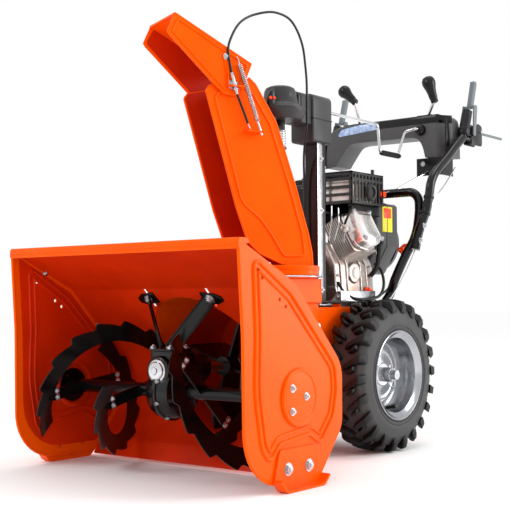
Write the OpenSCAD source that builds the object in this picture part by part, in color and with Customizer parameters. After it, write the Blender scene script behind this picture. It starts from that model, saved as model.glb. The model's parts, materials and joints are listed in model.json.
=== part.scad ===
// Two-stage walk-behind snow blower: auger housing, chute, engine, wheels and handlebars.
// Axes: +Z up, front of the machine towards -Y, machine's left towards +X.
// Modules are drawn from the wheel axle line and moved by shift_y to centre the whole on the origin.

/* [Auger housing] */
// Clearing width over the side plates
housing_w = 716; // [700:1:740]
// Height of the housing at its mouth
housing_h = 531; // [525:1:540]
// Thickness of the side plates
plate_t = 4; // [3:0.5:5]
// Radius of the round opening into the impeller drum
drum_r = 175; // [172:1:176]

/* [Auger and impeller] */
// Radius of the auger's ribbon flights
auger_r = 164; // [155:1:165]
// Radius of the auger shaft
shaft_r = 11; // [10:0.5:12]
// Rise of the ribbon along the shaft per degree of turn
ribbon_pitch = 1.1; // [1.05:0.01:1.12]
// Radius of the impeller blades
impeller_r = 167; // [155:1:168]
// Number of impeller blades
blade_count = 4; // [3:1:4]

/* [Chute] */
// Rest yaw of the chute, towards the machine's right
chute_yaw = -22; // [-22:1:-22]
// Outside width of the chute channel
chute_w = 124; // [116:2:124]
// Outside width of the deflector cap
deflector_w = 142; // [140:1:144]
// Thickness of chute sheet
chute_t = 3; // [2:0.5:3]

/* [Wheels] */
// Outside radius of the tyres
tyre_r = 203; // [203:1:203]
// Width of the tyres
tyre_w = 118; // [110:1:118]
// Lugs round each shoulder of a tyre
lug_count = 24; // [20:1:26]
// Half of the wheel track, at the tyre's middle plane
wheel_x = 199; // [199:1:202]

/* [Handlebars] */
// Half of the distance between the handlebars
bar_x = 235; // [233:1:237]
// Outside diameter of the handlebar tube
bar_d = 26; // [24:1:28]
// Half of the console's width
console_x = 216; // [210:1:216]

/* [Hidden] */
$fn = 48;
eps = 0.01;
fit = 0.05;
axle_z = tyre_r;
axle_r = 12.5;
front_y = -801;
rear_y = 683;
shift_y = -(front_y + rear_y) / 2;
side_x = housing_w / 2;
auger_y = -606;
auger_z = 190;
impeller_z = 240;
chute_x = 90;
chute_y = -300;
ring_z = 465;
tilt_s = 178;
tilt_z = 925;
crank_z = 912;
crank_x = 93;
post_y = -150;
orange = [1, 0.29, 0.02];
black = [0.09, 0.09, 0.1];
steel = [0.8, 0.8, 0.82];
grey = [0.3, 0.3, 0.31];

// ---------- helpers ----------

// Unit vector of a 2-D vector
function unit2(v) = v / norm(v);

// Points of an outline [[x, y, corner radius], ...] with each corner rounded by an arc
function rounded(pts, n = 6) = [
    for (i = [0 : len(pts) - 1])
        let (
            p = [pts[i][0], pts[i][1]],
            a = pts[(i + len(pts) - 1) % len(pts)],
            b = pts[(i + 1) % len(pts)],
            u = unit2([a[0], a[1]] - p),
            v = unit2([b[0], b[1]] - p),
            half = acos(u * v) / 2,
            r = pts[i][2],
            d = r / tan(half),
            c = p + unit2(u + v) * r / sin(half),
            t0 = p + u * d - c,
            a0 = atan2(t0[1], t0[0]),
            turn = (u[0] * v[1] - u[1] * v[0]) > 0 ? -1 : 1,
            sweep = (180 - 2 * half) * turn
        )
        each (r < eps ? [p] : [for (k = [0 : n]) c + r * [cos(a0 + sweep * k / n), sin(a0 + sweep * k / n)]])
];

// Same rounding for an open path: the two ends stay as they are
function rounded_path(pts, n = 6) = rounded([for (i = [0 : len(pts) - 1])
    [pts[i][0], pts[i][1], (i == 0 || i == len(pts) - 1) ? 0 : pts[i][2]]], n);

// Left-hand normal of an open path at point i
function path_normal(p, i) =
    let (
        a = p[max(i - 1, 0)],
        b = p[min(i + 1, len(p) - 1)],
        d = unit2(b - a)
    )
    [-d[1], d[0]];

// Outline of a sheet of thickness t that follows an open path, on the path's left side
function sheet_outline(p, t) = concat(p, [for (i = [len(p) - 1 : -1 : 0]) p[i] + t * path_normal(p, i)]);

// Extrude an outline given in (Y, Z) along X
module across(pts, x0, x1) {
    translate([x0, 0, 0])
        rotate([90, 0, 90])
            linear_extrude(height = x1 - x0)
                polygon(pts);
}

// Extrude an outline given in (X, Z) along Y
module along(pts, y0, y1) {
    translate([0, y1, 0])
        rotate([90, 0, 0])
            linear_extrude(height = y1 - y0)
                polygon(pts);
}

// Box from its lowest to its highest corner
module block(a, b) {
    translate(a)
        cube(b - a);
}

// Cylinder along X between x0 and x1
module rod_x(x0, x1, y, z, r) {
    translate([x0, y, z])
        rotate([0, 90, 0])
            cylinder(r = r, h = x1 - x0);
}

// Cylinder along Y between y0 and y1
module rod_y(y0, y1, x, z, r) {
    translate([x, y0, z])
        rotate([-90, 0, 0])
            cylinder(r = r, h = y1 - y0);
}

// Cylinder between two points
module rod(a, b, r) {
    d = b - a;
    translate(a)
        rotate([0, acos(d[2] / norm(d)), atan2(d[1], d[0])])
            cylinder(r = r, h = norm(d));
}

// Points of a smooth curve through hand-placed route points
function spline_at(p, i, t) =
    let (
        a = p[max(i - 1, 0)],
        b = p[i],
        c = p[i + 1],
        d = p[min(i + 2, len(p) - 1)]
    )
    0.5 * (2 * b + (c - a) * t + (2 * a - 5 * b + 4 * c - d) * t * t + (3 * b - a - 3 * c + d) * t * t * t);
function spline(p, n) = concat(
    [for (i = [0 : len(p) - 2], k = [0 : n - 1]) spline_at(p, i, k / n)],
    [p[len(p) - 1]]
);

// Tube swept along a list of points
module tube_along(path, r, sides = 8) {
    n = len(path);
    tangent = [for (i = [0 : n - 1]) let (d = path[min(i + 1, n - 1)] - path[max(i - 1, 0)]) d / norm(d)];
    side_dir = [1, 0.12, 0.07];
    points = [for (i = [0 : n - 1])
        let (
            u0 = cross(tangent[i], side_dir),
            u = u0 / norm(u0),
            v = cross(tangent[i], u)
        )
        for (k = [0 : sides - 1]) path[i] + r * (cos(360 * k / sides) * u + sin(360 * k / sides) * v)];
    walls = [for (i = [0 : n - 2], k = [0 : sides - 1])
        let (k2 = (k + 1) % sides)
            [i * sides + k, (i + 1) * sides + k, (i + 1) * sides + k2, i * sides + k2]];
    ends = [[for (k = [0 : sides - 1]) k], [for (k = [sides - 1 : -1 : 0]) (n - 1) * sides + k]];
    polyhedron(points = points, faces = concat(walls, ends), convexity = 8);
}

// Place the machine's parts in the final frame
module machine() {
    translate([0, shift_y, 0])
        children();
}

// Place parts in the turning frame of the chute, whose discharge side is -Y
module in_chute_frame() {
    translate([chute_x, chute_y, 0])
        rotate([0, 0, chute_yaw])
            children();
}

// ---------- auger housing ----------

plate_outline = rounded([[-800, housing_h, 4], [-786, 330, 400], [-781, 16, 118], [-515, 16, 24],
    [-428, 118, 60], [-427, 256, 80], [-606, 440, 30], [-772, 516, 14]], 8);
cutter_holes = [[-721, 450], [-661, 404], [-640, 389]];
skid_slots = [-642, -567];
bearing_bolts = [[-625, 214], [-575, 194], [-625, 165]];

module side_plate(side) {
    x_out = side * side_x;
    machine()
        difference() {
            union() {
                across(plate_outline, min(x_out, x_out - side * plate_t),
                    max(x_out, x_out - side * plate_t));
                rod_x(min(x_out, x_out + side * 5), max(x_out, x_out + side * 5),
                    auger_y + 10, auger_z + 3, 56);
            }
            for (h = cutter_holes)
                rod_x(x_out - 10, x_out + 10, h[0], h[1], 4.2);
            for (y = skid_slots)
                block([x_out - 10, y - 5.2, 34], [x_out + 10, y + 5.2, 70]);
            for (b = bearing_bolts)
                rod_x(x_out - 12, x_out + 12, b[0], b[1], 4.1);
            rod_x(x_out - 12, x_out + 12, auger_y, auger_z, 17);
        }
}

module side_plate_left() {
    color(orange) side_plate(1);
}

module side_plate_right() {
    color(orange) side_plate(-1);
}

wrap_path = rounded_path([[-790, 513, 0], [-766, 511, 10], [-603, 434, 30], [-431, 257, 78], [-432, 120, 58],
    [-497, 44, 20], [-502, 38, 0]], 8);

// Frame of the bracket's bolts on the sloping wall
module on_slope(side) {
    translate([side * 98, -583.5, 409.5])
        rotate([45, 0, 0])
            children();
}

module housing_wrap() {
    color(orange) machine()
        difference() {
            across(sheet_outline([for (i = [len(wrap_path) - 1 : -1 : 0]) wrap_path[i]], 3),
                -side_x + plate_t, side_x - plate_t);
            rod_y(-640, -400, 0, impeller_z, drum_r - 3);
            for (side = [-1, 1])
                on_slope(side)
                    cylinder(r = 5.2, h = 60, center = true);
        }
}

module housing_top_bar() {
    color(orange) machine()
        across(rounded([[-801, 508, 3], [-801, housing_h, 7], [-770, housing_h - 1, 4], [-766, 519, 3],
            [-792, 517, 3], [-796, 508, 1]], 4), -side_x - 2, side_x + 2);
}

module scraper_bar() {
    color(black) machine()
        across([[-494, 46], [-524, 6], [-529, 9], [-500, 49]], -side_x + plate_t + 1, side_x - plate_t - 1);
}

module skid_shoe(side) {
    x0 = side * (side_x + 0.5);
    x1 = side * (side_x + 5.5);
    x2 = side * (side_x + 26);
    shoe = rounded([[-690, 24, 6], [-672, 0, 20], [-535, 0, 20], [-516, 20, 6], [-534, 88, 10],
        [-670, 88, 10]], 5);
    runner = sheet_outline(rounded_path([[-692, 26, 0], [-672, 0, 22], [-535, 0, 22], [-514, 20, 0]], 5), 5);
    machine()
        difference() {
            union() {
                across(shoe, min(x0, x1), max(x0, x1));
                across(runner, min(x0, x2), max(x0, x2));
            }
            for (y = skid_slots)
                rod_x(min(x0, x2) - 5, max(x0, x2) + 5, y, 46, 5.2);
        }
}

module skid_shoes() {
    color(orange)
        for (side = [-1, 1])
            skid_shoe(side);
}

// Hexagonal nut or bolt head with its axis along X
module hex_x(x0, x1, y, z, r) {
    translate([x0, y, z])
        rotate([0, 90, 0])
            cylinder(r = r, h = x1 - x0, $fn = 6);
}

module bolt_out(side, y, z, x_face, r_shank, reach) {
    xa = side * x_face;
    xb = side * (x_face - reach);
    hex_x(min(xa, xa + side * 6), max(xa, xa + side * 6), y, z, r_shank * 1.9);
    rod_x(min(xb, xa + side * 9), max(xb, xa + side * 9), y, z, r_shank);
}

module housing_fasteners() {
    color(steel) machine()
        for (side = [-1, 1]) {
            for (y = skid_slots)
                bolt_out(side, y, 46, side_x + 5.5, 5, 18);
            for (b = bearing_bolts)
                bolt_out(side, b[0], b[1], side_x + 5, 4, 22);
            on_slope(side) {
                translate([0, 0, 1.2])
                    cylinder(r = 10, h = 7, $fn = 6);
                translate([0, 0, -18])
                    cylinder(r = 5, h = 28);
            }
        }
}

module auger_bearings() {
    color(black) machine()
        for (side = [-1, 1])
            difference() {
                union() {
                    x0 = side * (side_x - plate_t - 8);
                    x1 = side * (side_x - plate_t);
                    rod_x(min(x0, x1), max(x0, x1), auger_y, auger_z, 42);
                    x2 = side * (side_x - 2);
                    x3 = side * (side_x - 30);
                    rod_x(min(x2, x3), max(x2, x3), auger_y, auger_z, 16.5);
                }
                rod_x(-400, 400, auger_y, auger_z, shaft_r + fit);
                for (b = bearing_bolts)
                    rod_x(-400, 400, b[0], b[1], 4.1);
            }
}

// Drum round the impeller, with the square spout that carries the chute
module impeller_housing() {
    back_y = -232;
    color(orange) machine()
        difference() {
            union() {
                intersection() {
                    rod_y(-600, back_y, 0, impeller_z, drum_r);
                    across([[-434, 50], [-434, 262], [-590, 420], [-584, 424], [back_y + 20, 424],
                        [back_y + 20, 50]], -200, 200);
                }
                block([3, -388, impeller_z], [drum_r + 3, back_y + 12, 457]);
                rod_y(back_y - 4, back_y, 0, impeller_z, drum_r + 6);
                rod_y(back_y - 20, back_y + 12, 0, impeller_z, 32);
                translate([chute_x, chute_y, 456])
                    cylinder(r = 92, h = 7);
            }
            rod_y(-620, back_y - 4, 0, impeller_z, drum_r - 3);
            translate([chute_x, chute_y, impeller_z])
                cylinder(r = 80, h = 300);
            rod_y(-700, -100, 0, impeller_z, 12.5 + fit);
        }
}

module gearcase_bracket() {
    color(black) machine()
        for (side = [-1, 1]) {
            hull() {
                translate([side * 16, -622, 287])
                    cylinder(r = 11, h = 4, $fn = 24);
                translate([side * 84, -597, 398])
                    rotate([45, 0, 0])
                        cylinder(r = 15, h = 4, $fn = 24);
            }
            on_slope(side)
                translate([0, 0, -3])
                    difference() {
                        cylinder(r = 32, h = 4, $fn = 6);
                        translate([0, 0, -1])
                            cylinder(r = 5.2, h = 8);
                    }
        }
}

module auger_gearcase() {
    color(black) machine()
        difference() {
            union() {
                rod_x(-36, 36, auger_y, auger_z, 76);
                rod_x(-52, 52, auger_y, auger_z, 26);
                rod_y(-660, -500, 0, impeller_z, 34);
                block([-34, -640, 225], [34, -560, 286]);
                rod_x(-5, 5, auger_y, auger_z, 84);
            }
            rod_x(-15, 15, auger_y, auger_z, 46);
            rod_x(-60, 60, auger_y, auger_z, shaft_r + fit);
            rod_y(-652, -510, 0, impeller_z, 25);
            rod_y(-512, -400, 0, impeller_z, 12.5 + fit);
            rod_y(-700, -650, 0, impeller_z, 20);
        }
}

module gearcase_cap() {
    color(steel) machine()
        union() {
            rod_y(-667, -660, 0, impeller_z, 27);
            rod_y(-672, -667, 0, impeller_z, 21);
        }
}

// ---------- auger ----------

module auger_shaft() {
    color(black) machine()
        rod_x(-side_x + 8, side_x - 8, auger_y, auger_z, shaft_r);
}

// Ribbon flight: its outer edge is notched like a saw
module ribbon(side, phase) {
    step = 6;
    steps = 39;
    x_start = side * 337;
    points = [for (i = [0 : steps])
        let (
            phi = phase - step * i,
            x = x_start - side * ribbon_pitch * step * i,
            r_out = auger_r - (i % 4) * 4,
            dx = 2
        )
        each [for (q = [[r_out, -dx], [r_out, dx], [114, dx], [114, -dx]])
            [x + q[1], auger_y + q[0] * cos(phi), auger_z + q[0] * sin(phi)]]];
    walls = [for (i = [0 : steps - 1], k = [0 : 3])
        let (k2 = (k + 1) % 4, a = i * 4, b = a + 4)
        each (k == 3 ? [[b + k, a + k2, a + k], [b + k, b + k2, a + k2]]
            : [[b + k2, a + k2, a + k], [b + k, b + k2, a + k]])];
    ends = [[0, 1, 2, 3], [for (k = [3 : -1 : 0]) steps * 4 + k]];
    polyhedron(points = points, faces = concat(walls, ends), convexity = 8);
}

// Flat bar from the shaft's sleeve out to a flight
module flight_arm(side, phase, turn) {
    phi = phase - turn;
    x = side * (337 - ribbon_pitch * turn);
    translate([x, auger_y, auger_z])
        rotate([phi, 0, 0])
            translate([-3, 12, -14])
                cube([6, 110, 28]);
}

function flight_phases(side) = side > 0 ? [-10, 170] : [228, 48];

module auger_flight_left() {
    color(black) machine()
        for (phase = flight_phases(1))
            ribbon(1, phase);
}

module auger_flight_right() {
    color(black) machine()
        for (phase = flight_phases(-1))
            ribbon(-1, phase);
}

// Sleeves pinned to the shaft, with the bars that carry the flights
module auger_arms() {
    color(black) machine()
        for (side = [-1, 1])
            difference() {
                union() {
                    for (phase = flight_phases(side), turn = [40, 215])
                        flight_arm(side, phase, turn);
                    rod_x(min(side * 58, side * 316), max(side * 58, side * 316), auger_y, auger_z, 16);
                }
                rod_x(-400, 400, auger_y, auger_z, shaft_r);
            }
}

module worm_wheel() {
    color([0.7, 0.5, 0.2]) machine()
        difference() {
            union() {
                rod_x(-11, 11, auger_y, auger_z, 31);
                for (k = [0 : 19])
                    translate([0, auger_y, auger_z])
                        rotate([18 * k, 0, 0])
                            block([-11, 29, -2.4], [11, 33.5, 2.4]);
            }
            rod_x(-20, 20, auger_y, auger_z, shaft_r);
        }
}

// ---------- impeller ----------

module impeller() {
    color(black) machine()
        difference() {
            union() {
                rod_y(-425, -262, 0, impeller_z, 24);
                for (k = [0 : blade_count - 1])
                    translate([0, 0, impeller_z])
                        rotate([0, 360 * k / blade_count + 20, 0])
                            along([[18, -3], [impeller_r - 28, -3], [impeller_r - 1, 16],
                                [impeller_r - 5, 20], [impeller_r - 30, 3], [18, 3]], -410, -262);
            }
            rod_y(-460, -230, 0, impeller_z, 12.5);
        }
}

module impeller_shaft() {
    color(steel) machine()
        union() {
            rod_y(-640, -132, 0, impeller_z, 12.5);
            rod_y(-634, -560, 0, impeller_z, 15.8);
        }
}

module pulley(z, r, y0, y1, bore) {
    rim = (y1 - y0) / 2;
    translate([0, y0, z])
        rotate([-90, 0, 0])
            difference() {
                rotate_extrude()
                    polygon([[0, 0], [r, 0], [r, 3], [r - 10, rim - 2], [r - 10, rim + 2], [r, y1 - y0 - 3],
                        [r, y1 - y0], [0, y1 - y0]]);
                translate([0, 0, -1])
                    cylinder(r = bore, h = y1 - y0 + 2);
            }
}

crankshaft_z = 478;

module impeller_pulley() {
    color(steel) machine()
        pulley(impeller_z, 80, -168, -146, 12.5);
}

module crank_pulley() {
    color(steel) machine()
        union() {
            pulley(crankshaft_z, 40, -168, -146, 9);
            rod_y(-172, -60, 0, crankshaft_z, 12);
        }
}

// Belt drawn as a closed loop round both pulleys, just clear of their grooves
module drive_belt() {
    r0 = 74.6;
    r1 = 34.6;
    d = crankshaft_z - impeller_z;
    tilt = asin((r0 - r1) / d);
    loop = function (g) concat(
        [for (k = [0 : 12]) let (a = tilt + (180 - 2 * tilt) * k / 12)
            [(r1 + g) * cos(a), crankshaft_z + (r1 + g) * sin(a)]],
        [for (k = [0 : 20]) let (a = 180 - tilt + (180 + 2 * tilt) * k / 20)
            [(r0 + g) * cos(a), impeller_z + (r0 + g) * sin(a)]]);
    color(black) machine()
        difference() {
            along(loop(8), -161, -153);
            along(loop(0), -162, -152);
        }
}

module belt_cover() {
    color(black) machine()
        difference() {
            along(rounded([[-112, 385, 6], [66, 385, 6], [66, 540, 40], [-62, 540, 40], [-112, 460, 30]], 6),
                -186, -80);
            along(rounded([[-108, 370, 6], [62, 370, 6], [62, 536, 36], [-60, 536, 36], [-108, 458, 26]], 6),
                -182, -90);
            rod_y(-100, -70, 0, crankshaft_z, 16);
        }
}

// ---------- frame ----------

module frame_box() {
    color(orange) machine()
        difference() {
            union() {
                block([-125, -205, 130], [125, 115, 384]);
                block([-115, -78, 383], [118, 128, 390.5]);
            }
            block([-122, -201, 120], [122, 111, 381]);
            block([-80, -182, 370], [62, -90, 388]);
            rod_y(-210, -195, 0, impeller_z, 60);
            rod_x(-130, 130, 0, axle_z, 20);
        }
}

// ---------- chute ----------

chute_wall = rounded([[55, 487, 4], [53, 522, 30], [44, 566, 60], [7, 686, 80], [-50, 846, 60],
    [-108, 934, 20],
    [-126, 948, 6], [-236, 922, 10], [-244, 908, 8], [-206, 780, 200], [-162, 630, 100], [-131, 548, 40],
    [-98, 519, 30], [-15, 487, 20]], 5);
chute_back = rounded_path([[56, 487, 0], [54, 522, 30], [44, 566, 60], [7, 686, 80], [-50, 846, 60],
    [-108, 934, 20], [-126, 948, 0]], 6);

module chute() {
    half = chute_w / 2;
    color(orange) machine()
        in_chute_frame()
            union() {
                across(chute_wall, half - chute_t, half);
                across(chute_wall, -half, -half + chute_t);
                across(sheet_outline(chute_back, chute_t), -half, half);
                translate([0, 0, ring_z])
                    difference() {
                        cylinder(r = 97, h = 24);
                        translate([0, 0, -1])
                            cylinder(r = 78, h = 30);
                    }
                for (side = [-1, 1])
                    translate([side * (half + 5.5), -tilt_s, tilt_z])
                        rotate([0, 90, 0])
                            cylinder(r = 6, h = 13, center = true);
                block([half - 1, -142, 812], [half + 24, -96, 816]);
            }
}

// Drive gear on the chute's axis, with the arm that turns the chute
module chute_drive() {
    color(black) machine()
        in_chute_frame()
            union() {
                translate([0, 0, 880])
                    cylinder(r = 44, h = 11);
                for (k = [0 : 29])
                    rotate([0, 0, 12 * k])
                        block([32, -1.4, 890], [43.5, 1.4, 897]);
                translate([0, 0, 838])
                    cylinder(r = 12, h = 43);
                block([-16, -48, 838], [16, 0, 846]);
                block([-5, -93, 900], [5, -80, 910]);
                translate([0, -77, 905])
                    rotate([0, 90, 0])
                        cylinder(r = 9, h = 40, center = true);
            }
}

deflector_wall = rounded([[-331, 1083, 3], [-352, 1036, 4], [-345, 1027, 4], [-228, 922, 20],
    [-200, 900, 16],
    [-160, 897, 20], [-140, 940, 20], [-123, 982, 3], [-207, 1022.5, 0]], 6);
deflector_roof = [[-123.5, 981.5], [-207, 1022], [-331, 1083]];

module deflector() {
    half = deflector_w / 2;
    color(orange) machine()
        in_chute_frame()
            difference() {
                union() {
                    across(deflector_wall, half - chute_t, half);
                    across(deflector_wall, -half, -half + chute_t);
                    across(sheet_outline([for (k = [2 : -1 : 0]) deflector_roof[k]], -chute_t), -half, half);
                    block([half - 1, -189, 918], [half + 18, -153, 922]);
                    block([half - 1, -193, 918], [half + 6, -189, 982]);
                }
                rod_x(-100, 100, -tilt_s, tilt_z, 6.05);
                translate([half + 8, -172, 900])
                    cylinder(r = 4.05, h = 40);
            }
}

spring_top = [80, -150, 984];
spring_foot = [80, -103, 838];

module deflector_spring() {
    color(steel) machine()
        in_chute_frame()
            union() {
                rod(spring_top, spring_foot, 6);
                rod(spring_foot, [80, -104, 813], 1.5);
            }
}

cable_route = [[206, 372, 832], [208, 330, 800], [206, 282, 766], [200, 240, 746], [191, 207, 737],
    [181, 186, 706], [172, 174, 650], [160, 152, 590], [148, 130, 530], [134, 100, 470],
    [130, 72, 420], [130, 30, 398], [130, -60, 397],
    [124, -120, 397], [128, -150, 398], [110, -184, 404], [82, -182, 440], [80, -182, 560], [80, -182, 700],
    [86, -192, 770], [106, -216, 806], [126, -234, 850], [129, -237, 900], [130, -238, 960],
    [133, -250, 1020], [140, -290, 1075], [124, -325, 1112], [106, -370, 1126]];
lead_route = [[105.2, -373, 1126], [98, -412, 1118], [94, -452, 1094], [93, -480, 1056], [95, -491, 1010],
    [98.8, -489.1, 925]];

// Sheath from the console, along the frame and up the post, to the top of its arch over the chute
module deflector_cable() {
    color(black) machine() tube_along(spline(cable_route, 2), 3.2);
}

// Last stretch of the sheath, down to the deflector
module cable_lead() {
    color(black) machine() tube_along(spline(lead_route, 3), 3.2);
}

// ---------- chute control ----------

module chute_post() {
    color(black) machine()
        difference() {
            union() {
                block([crank_x - 19, post_y - 19, 383], [crank_x + 19, post_y + 19, 862]);
                block([crank_x - 24, post_y - 26, 383], [crank_x + 30, post_y + 30, 390]);
            }
            block([crank_x - 16.5, post_y - 16.5, 380], [crank_x + 16.5, post_y + 16.5, 870]);
        }
}

module gear_cover() {
    color(grey) machine()
        difference() {
            union() {
                translate([chute_x, chute_y, 892])
                    rotate_extrude()
                        polygon(rounded([[0, -30, 0], [55, -30, 1], [66, -8, 2], [65, 2, 1], [50, 58, 14],
                            [0, 58, 0]], 5));
                along(rounded([[crank_x - 44, 818, 8], [crank_x + 46, 818, 8], [crank_x + 46, 946, 16],
                    [crank_x - 44, 946, 16]], 5), -200, -112);
                along(rounded([[chute_x - 27, 862, 4], [chute_x + 27, 862, 4], [chute_x + 27, 946, 12],
                    [chute_x - 27, 946, 12]], 5), -246, -198);
            }
            translate([chute_x, chute_y, 892])
                rotate_extrude()
                    polygon([[0, -40], [47, -40], [62.5, -9], [62.5, 0], [47.5, 54], [0, 54]]);
            block([crank_x - 41, -196.5, 810], [crank_x + 43, -115.5, 942]);
            rod_y(-260, -118, crank_x, crank_z, 8);
            rod_y(-120, -100, crank_x, crank_z, 5.5 + fit);
        }
}

module crank_rod() {
    color(steel) machine()
        union() {
            rod_y(-262, 170, crank_x, crank_z, 5.5);
            rod_y(-272, -255, crank_x, crank_z, 14);
            translate([crank_x, 170, crank_z])
                sphere(r = 6.5);
            rod([crank_x, 170, crank_z], [crank_x, 176, 836], 5.5);
            rod_y(172, 292, crank_x, 832, 5.5);
        }
}

module crank_grip() {
    color(black) machine()
        difference() {
            union() {
                rod_y(184, 288, crank_x, 832, 9);
                for (k = [0 : 9])
                    rod_y(190 + 10 * k, 195 + 10 * k, crank_x, 832, 11);
            }
            rod_y(170, 300, crank_x, 832, 5.5 + fit);
        }
}

// ---------- engine ----------

module crankcase() {
    color(steel) machine()
        difference() {
            union() {
                along(rounded([[-72, 390, 10], [74, 390, 14], [98, 424, 12], [92, 500, 20], [60, 562, 16],
                    [-72, 562, 16]], 4), -60, 132);
                rod_y(-76, -59, 0, crankshaft_z, 46);
            }
            rod_y(-80, 0, 0, crankshaft_z, 12 + fit);
        }
}

module cylinder_block() {
    color(black) machine()
        translate([52, 34, 560])
            rotate([0, 62, 0])
                union() {
                    cylinder(r = 44, h = 60);
                    for (k = [0 : 6])
                        translate([-58, -58, 6 + 8 * k])
                            cube([116, 116, 3.5]);
                }
}

module valve_cover() {
    color(steel) machine()
        translate([52, 34, 560])
            rotate([0, 62, 0])
                translate([0, 0, 63])
                    linear_extrude(height = 42)
                        polygon(rounded([[-56, -50, 20], [46, -50, 26], [58, 0, 30], [46, 50, 26],
                            [-56, 50, 20]], 6));
}

module muffler() {
    color(grey) machine()
        along(rounded([[-18, 664, 24], [118, 664, 24], [118, 742, 24], [-18, 742, 24]], 6), -12, 118);
}

module muffler_guard() {
    x0 = -30;
    x1 = 130;
    y0 = -30;
    y1 = 134;
    z0 = 668;
    z1 = 756;
    color(grey) machine()
        difference() {
            block([x0, y0, z0], [x1, y1, z1]);
            block([x0 + 3, y0 + 3, z0 - 5], [x1 - 3, y1 - 3, z1 - 3]);
            for (k = [0 : 3], s = [0 : 1])
                block([x0 + 12 + 72 * s, y0 - 5, z0 + 9 + 20 * k],
                    [x0 + 76 + 72 * s, y0 + 5, z0 + 21 + 20 * k]);
            for (k = [0 : 7])
                block([x1 - 5, y0 + 12 + 18.5 * k, z0 + 8], [x1 + 5, y0 + 24 + 18.5 * k, z1 - 28]);
            for (k = [0 : 7])
                block([x1 - 5, y0 + 12 + 18.5 * k, z1 - 20], [x1 + 5, y0 + 24 + 18.5 * k, z1 - 8]);
        }
}

module blower_housing() {
    color(grey) machine()
        union() {
            along(rounded([[-70, 478, 16], [56, 478, 16], [102, 560, 20], [102, 684, 12],
                [-70, 684, 20]], 5),
                140, 262);
            block([-60, 131, 486], [50, 142, 560]);
        }
}

module recoil_cover() {
    color(grey) machine()
        translate([8, 262, 572])
            rotate([-90, 0, 0])
                difference() {
                    union() {
                        cylinder(r = 88, h = 22);
                        translate([0, 0, 22])
                            cylinder(r = 70, h = 14);
                    }
                    for (k = [0 : 11])
                        rotate([0, 0, 30 * k])
                            block([34, -5, 30], [62, 5, 40]);
                }
}

module recoil_handle() {
    color(orange) machine()
        union() {
            rod_y(285, 326, 88, 552, 9);
            rod_y(325, 337, 88, 552, 20);
        }
}

module fuel_tank() {
    color(black) machine()
        difference() {
            along(rounded([[-172, 615, 22], [-76, 615, 22], [-76, 742, 26], [-172, 742, 26]], 6), 50, 194);
            along(rounded([[-169, 618, 19], [-79, 618, 19], [-79, 739, 23], [-169, 739, 23]], 6), 53, 191);
            translate([-126, 98, 720])
                cylinder(r = 18, h = 40);
        }
}

module fuel_cap() {
    color(black) machine()
        translate([-126, 98, 742.4])
            union() {
                cylinder(r = 26, h = 16);
                for (k = [0 : 11])
                    rotate([0, 0, 30 * k])
                        translate([25, -3, 0])
                            cube([3.5, 6, 16]);
                translate([0, 0, -18])
                    cylinder(r = 17.4, h = 20);
            }
}

module carburetor_cover() {
    color(black) machine()
        along(rounded([[-142, 480, 12], [-76, 480, 10], [-76, 606, 16], [-142, 598, 24]], 5), -28, 104);
}

// ---------- handlebars and console ----------

lower_leg = [[116, 127, 318], [118, 130, 350], [120, 150, 392], [126, 172, 420], [143, 172, 462],
    [168, 190, 530], [184, 203, 567], [195, 208, 602], [200, 211, 640], [201, 213, 672], [196, 214, 696],
    [178, 214, 711], [150, 214, 713], [60, 214, 713]];
lower_frame = concat(lower_leg, [for (k = [len(lower_leg) - 1 : -1 : 0])
    [-lower_leg[k][0], lower_leg[k][1], lower_leg[k][2]]]);

module lower_handlebar() {
    color(black) machine() tube_along(spline(lower_frame, 2), bar_d / 2, 12);
}

upper_bar = [[212, 168, 544], [217, 178, 590], [225, 190, 628], [231, 202, 660], [234, 212, 700],
    [bar_x, 222, 736], [bar_x, 250, 770], [bar_x, 319, 818], [bar_x, 370, 856], [bar_x, 400, 876],
    [bar_x, 420, 892], [bar_x, 432, 920], [bar_x, 446, 954]];

module handlebars() {
    color(black) machine()
        for (side = [-1, 1]) {
            tube_along(spline([for (p = upper_bar) [side * p[0], p[1], p[2]]], 2), bar_d / 2, 12);
            tube_along([[side * 188, 205, 590], [side * 203, 191, 590], [side * 220, 178, 590]], 8, 12);
        }
}

lever_y = 461;
lever_z = 908;

// Moulded grips over the ends of the bars, each with the lever's bracket behind it
module grips() {
    color(black) machine()
        for (side = [-1, 1])
            difference() {
                union() {
                    rod([side * bar_x, 424, 896], [side * bar_x, 453, 975], 15);
                    block([side * bar_x - 12, 424, 886], [side * bar_x + 12, 520, 892]);
                    block([side * bar_x - 14, 452, 872], [side * bar_x - 9, 522, 940]);
                    block([side * bar_x + 9, 452, 872], [side * bar_x + 14, 522, 940]);
                }
                rod_x(-300, 300, lever_y, lever_z, 3.05);
                rod_x(-300, 300, 514, 916, 3.05);
            }
}

console_face = rounded([[-console_x, 828, 3], [-console_x, 918, 30], [-158, 958, 24], [196, 958, 24],
    [console_x, 930, 14], [console_x, 828, 3], [172, 828, 4], [146, 866, 60], [100, 900, 30],
    [-118, 898, 40],
    [-176, 828, 4]], 5);

module console() {
    color(grey) machine()
        difference() {
            along(console_face, 350, 440);
            block([-150, 345, 914], [-20, 356, 950]);
            block([116, 356, 915], [166, 432, 970]);
            block([-120, 360, 915], [-88, 434, 970]);
        }
}

// Hangers between the console and the bars, and the plate that carries the control rods
module console_bracket() {
    color(black) machine()
        union() {
            block([112, 358, 776], [196, 362, 829]);
            block([192, 358, 776], [196, 430, 829]);
            for (side = [-1, 1])
                block([min(side * (console_x - 2), side * (bar_x - 9)), 350, 838],
                    [max(side * (console_x - 2), side * (bar_x - 9)), 370, 854]);
        }
}

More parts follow.
